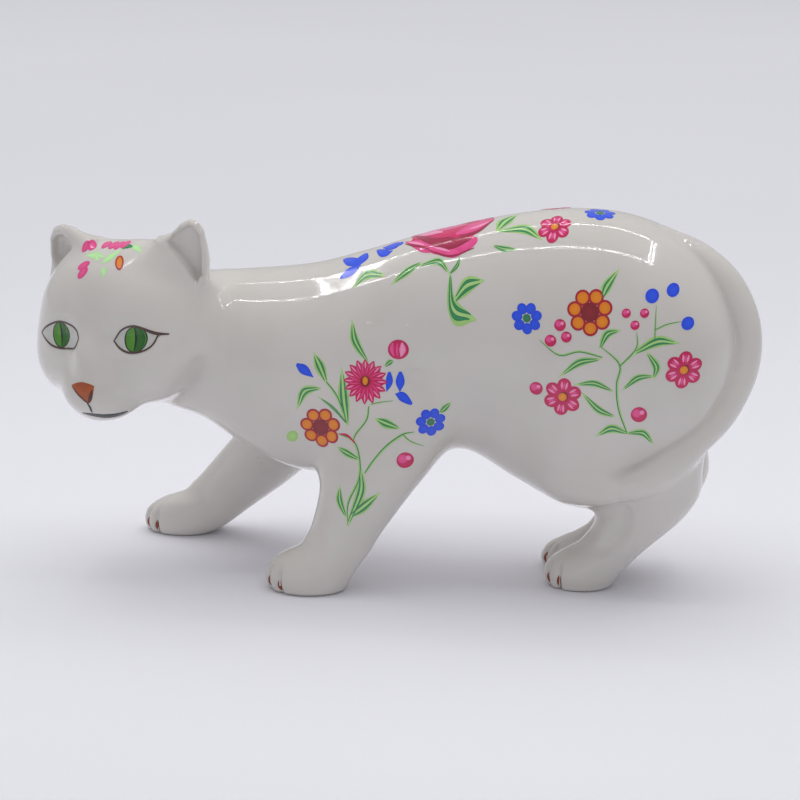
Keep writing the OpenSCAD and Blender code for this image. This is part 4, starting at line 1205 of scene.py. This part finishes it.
# Each enamel's deep and pale tone
PAINTS = {
    "leaf_light": ((158, 208, 112), (188, 230, 146)),
    "leaf_pale": ((174, 233, 152), (209, 251, 187)),
    "leaf_dark": ((31, 123, 73), (59, 156, 101)),
    "leaf_core": ((31, 114, 79), (51, 143, 101)),
    "red_dark": ((165, 15, 40), (205, 33, 55)),
    "maroon": ((123, 13, 29), (154, 24, 40)),
    "orange": ((232, 122, 2), (246, 152, 6)),
    "gold": ((227, 128, 11), (255, 165, 33)),
    "pink_deep": ((194, 11, 81), (227, 33, 110)),
    "pink_mid": ((229, 57, 134), (249, 95, 163)),
    "crimson": ((142, 12, 58), (184, 26, 82)),
    "pink_light": ((249, 121, 176), (255, 174, 211)),
    "blue": ((15, 66, 227), (37, 92, 249)),
    "sclera": ((194, 194, 191), (206, 206, 202)),
    "iris_rim": ((12, 26, 12), (24, 40, 18)),
    "iris_light": ((58, 128, 24), (98, 166, 44)),
    "iris_dark": ((18, 84, 20), (36, 112, 30)),
    "slit": ((10, 12, 18), (22, 26, 34)),
    "lash": ((66, 44, 38), (92, 66, 56)),
    "nose_brown": ((158, 68, 28), (186, 92, 44)),
    "nose_shade": ((58, 24, 18), (96, 44, 26)),
    "lip": ((42, 46, 48), (74, 78, 80)),
    "claw": ((126, 46, 14), (166, 76, 30)),
    "claw_dark": ((58, 20, 14), (84, 34, 22)),
}


# ---------------------------------------------------------------- stage, light and camera
def build_stage():
    floor = bpy.data.meshes.new("floor")
    r = 6.0
    floor.from_pydata([(-r, -r, 0), (r, -r, 0), (r, r, 0), (-r, r, 0)], [], [(0, 1, 2, 3)])
    obj = bpy.data.objects.new("floor", floor)
    bpy.context.scene.collection.objects.link(obj)
    m, tree, shader = nodes_of("floor_paper")
    colour = ramp_node(tree, noise(tree, 2.5, 2), [(0.3, srgb(240, 240, 247)), (0.7, srgb(243, 243, 250))])
    tree.links.new(colour, shader.inputs["Base Color"])
    shader.inputs["Roughness"].default_value = 0.75
    shader.inputs["Specular IOR Level"].default_value = 0.2
    floor.materials.append(m)


def add_light(name, place_, target, size, power, colour=(1, 1, 1)):
    light = bpy.data.lights.new(name, "AREA")
    light.shape, light.size, light.size_y = "RECTANGLE", size[0], size[1]
    light.energy, light.color = power, colour
    obj = bpy.data.objects.new(name, light)
    obj.location = place_
    obj.rotation_euler = (Vector(target) - Vector(place_)).to_track_quat("-Z", "Y").to_euler()
    bpy.context.scene.collection.objects.link(obj)
    return obj


def build_light():
    world = bpy.data.worlds.new("studio")
    bpy.context.scene.world = world
    world.use_nodes = True
    sky = world.node_tree.nodes["Background"]
    sky.inputs["Color"].default_value = (0.9, 0.9, 0.92, 1)
    sky.inputs["Strength"].default_value = 0.49
    window = add_light("overhead", (0.0, 0.6, 2.1), (0, 0, 0.03), (3.2, 2.8), 25.0, (1, 0.99, 0.98))
    window.visible_glossy = False
    lamp_frame((0.012, 0.015, 0.30), 0.285, 0.15)


def lamp_frame(place_, width, depth, bar=0.003, power=0.05, gap=0.0075, double=0.009):
    """A ring lamp: rows of small bulbs round a rectangle, doubled at its ends, that shows in the glaze."""
    x, y, z = place_
    rows = {"near": (0, -depth / 2), "far": (0, depth / 2), "left": (-width / 2, 0), "right": (width / 2, 0),
            "left_outer": (-width / 2 - double, 0), "right_outer": (width / 2 + double, 0)}
    for name, (dx, dy) in rows.items():
        long_way = 0 if dx == 0 else 1
        size = (width, bar) if long_way == 0 else (bar, depth)
        at = (x + dx, y + dy, z)
        lamp = add_light("lamp_" + name, at, (at[0], at[1], 0), size, power * size[long_way] / width)
        lamp.rotation_euler = (0, 0, 0)
        lamp.visible_camera = False
        bulbs(lamp.data, gap, long_way)


def bulbs(light, gap, axis, share=0.4):
    """Lets a strip lamp shine only where its bulbs are, in an even row along it."""
    light.use_nodes = True
    tree = light.node_tree
    where = tree.nodes.new("ShaderNodeNewGeometry")
    split = tree.nodes.new("ShaderNodeSeparateXYZ")
    tree.links.new(where.outputs["Position"], split.inputs[0])
    value = split.outputs[axis]
    steps = (("MULTIPLY", 1 / gap), ("FRACT", 0), ("LESS_THAN", share), ("MULTIPLY", 1 / share))
    for operation, amount in steps:
        value = math_node(tree, operation, value, amount)
    tree.links.new(value, tree.nodes["Emission"].inputs["Strength"])


CAMERA_SIDE, CAMERA_RISE = math.radians(8.0), math.radians(15.5)
CAMERA_FAR, FOCUS = 520.0, np.array((0.25, 0.14, 42.0))
LENS, SENSOR = 99.57, 36.0


def build_camera():
    camera = bpy.data.cameras.new("photo_view")
    camera.sensor_width, camera.lens, camera.clip_end = SENSOR, LENS, 20
    obj = bpy.data.objects.new("photo_view", camera)
    back = Vector((math.sin(CAMERA_SIDE) * math.cos(CAMERA_RISE), -math.cos(CAMERA_SIDE) * math.cos(CAMERA_RISE),
                   math.sin(CAMERA_RISE)))
    obj.location = (Vector(FOCUS) + back * CAMERA_FAR) * MM
    obj.rotation_euler = back.to_track_quat("Z", "Y").to_euler()
    bpy.context.scene.collection.objects.link(obj)
    bpy.context.scene.camera = obj


# ---------------------------------------------------------------- the figure
SIDE_NODES = {"leaves": "leaf_green", "pink": "flower_pink", "orange": "flower_orange", "blue": "flower_blue"}
SIDE_NAMES = {"leaves": "leaves", "pink": "pink_flowers", "orange": "orange_flower", "blue": "blue_flowers"}


def side_nodes(which):
    return {f: ("%s_%s" % (which, SIDE_NAMES[f]), slot) for f, slot in SIDE_NODES.items()}


BACK_NODES = {"leaves": ("back_leaves", "leaf_green"), "pink": ("back_rose", "flower_pink"),
              "blue": ("back_blue_flowers", "flower_blue")}
CROWN_NODES = {"leaves": ("forehead_leaves", "leaf_green"), "pink": ("forehead_petals", "flower_pink"),
               "orange": ("forehead_bud", "flower_orange")}
# How far each side's two sprays are moved along x and up: the right side's to suit its own legs
SIDES = {"left": ((0, 0), (0, 0)), "right": ((-22, 0), (-1, 0))}


def build_all():
    bpy.context.scene.view_settings.view_transform = "Standard"
    build_camera()
    build_stage()
    build_light()
    materials = {name: enamel_material(name, *tones) for name, tones in PAINTS.items()}
    build_porcelain(glaze_material())
    shoulder, hip = expand(SHOULDER), expand(HIP)
    for side, (shoulder_shift, hip_shift) in SIDES.items():
        spray(shoulder, side, shoulder_shift, side_nodes(side + "_shoulder"), materials)
        spray(hip, side, hip_shift, side_nodes(side + "_hip"), materials)
    spray(expand(BACK + BACK_UNSEEN), "back", (0, 0), BACK_NODES, materials)
    spray(expand(CROWN), "crown", (0, 0), CROWN_NODES, materials)
    build_face(materials)
    build_claws(materials)


build_all()
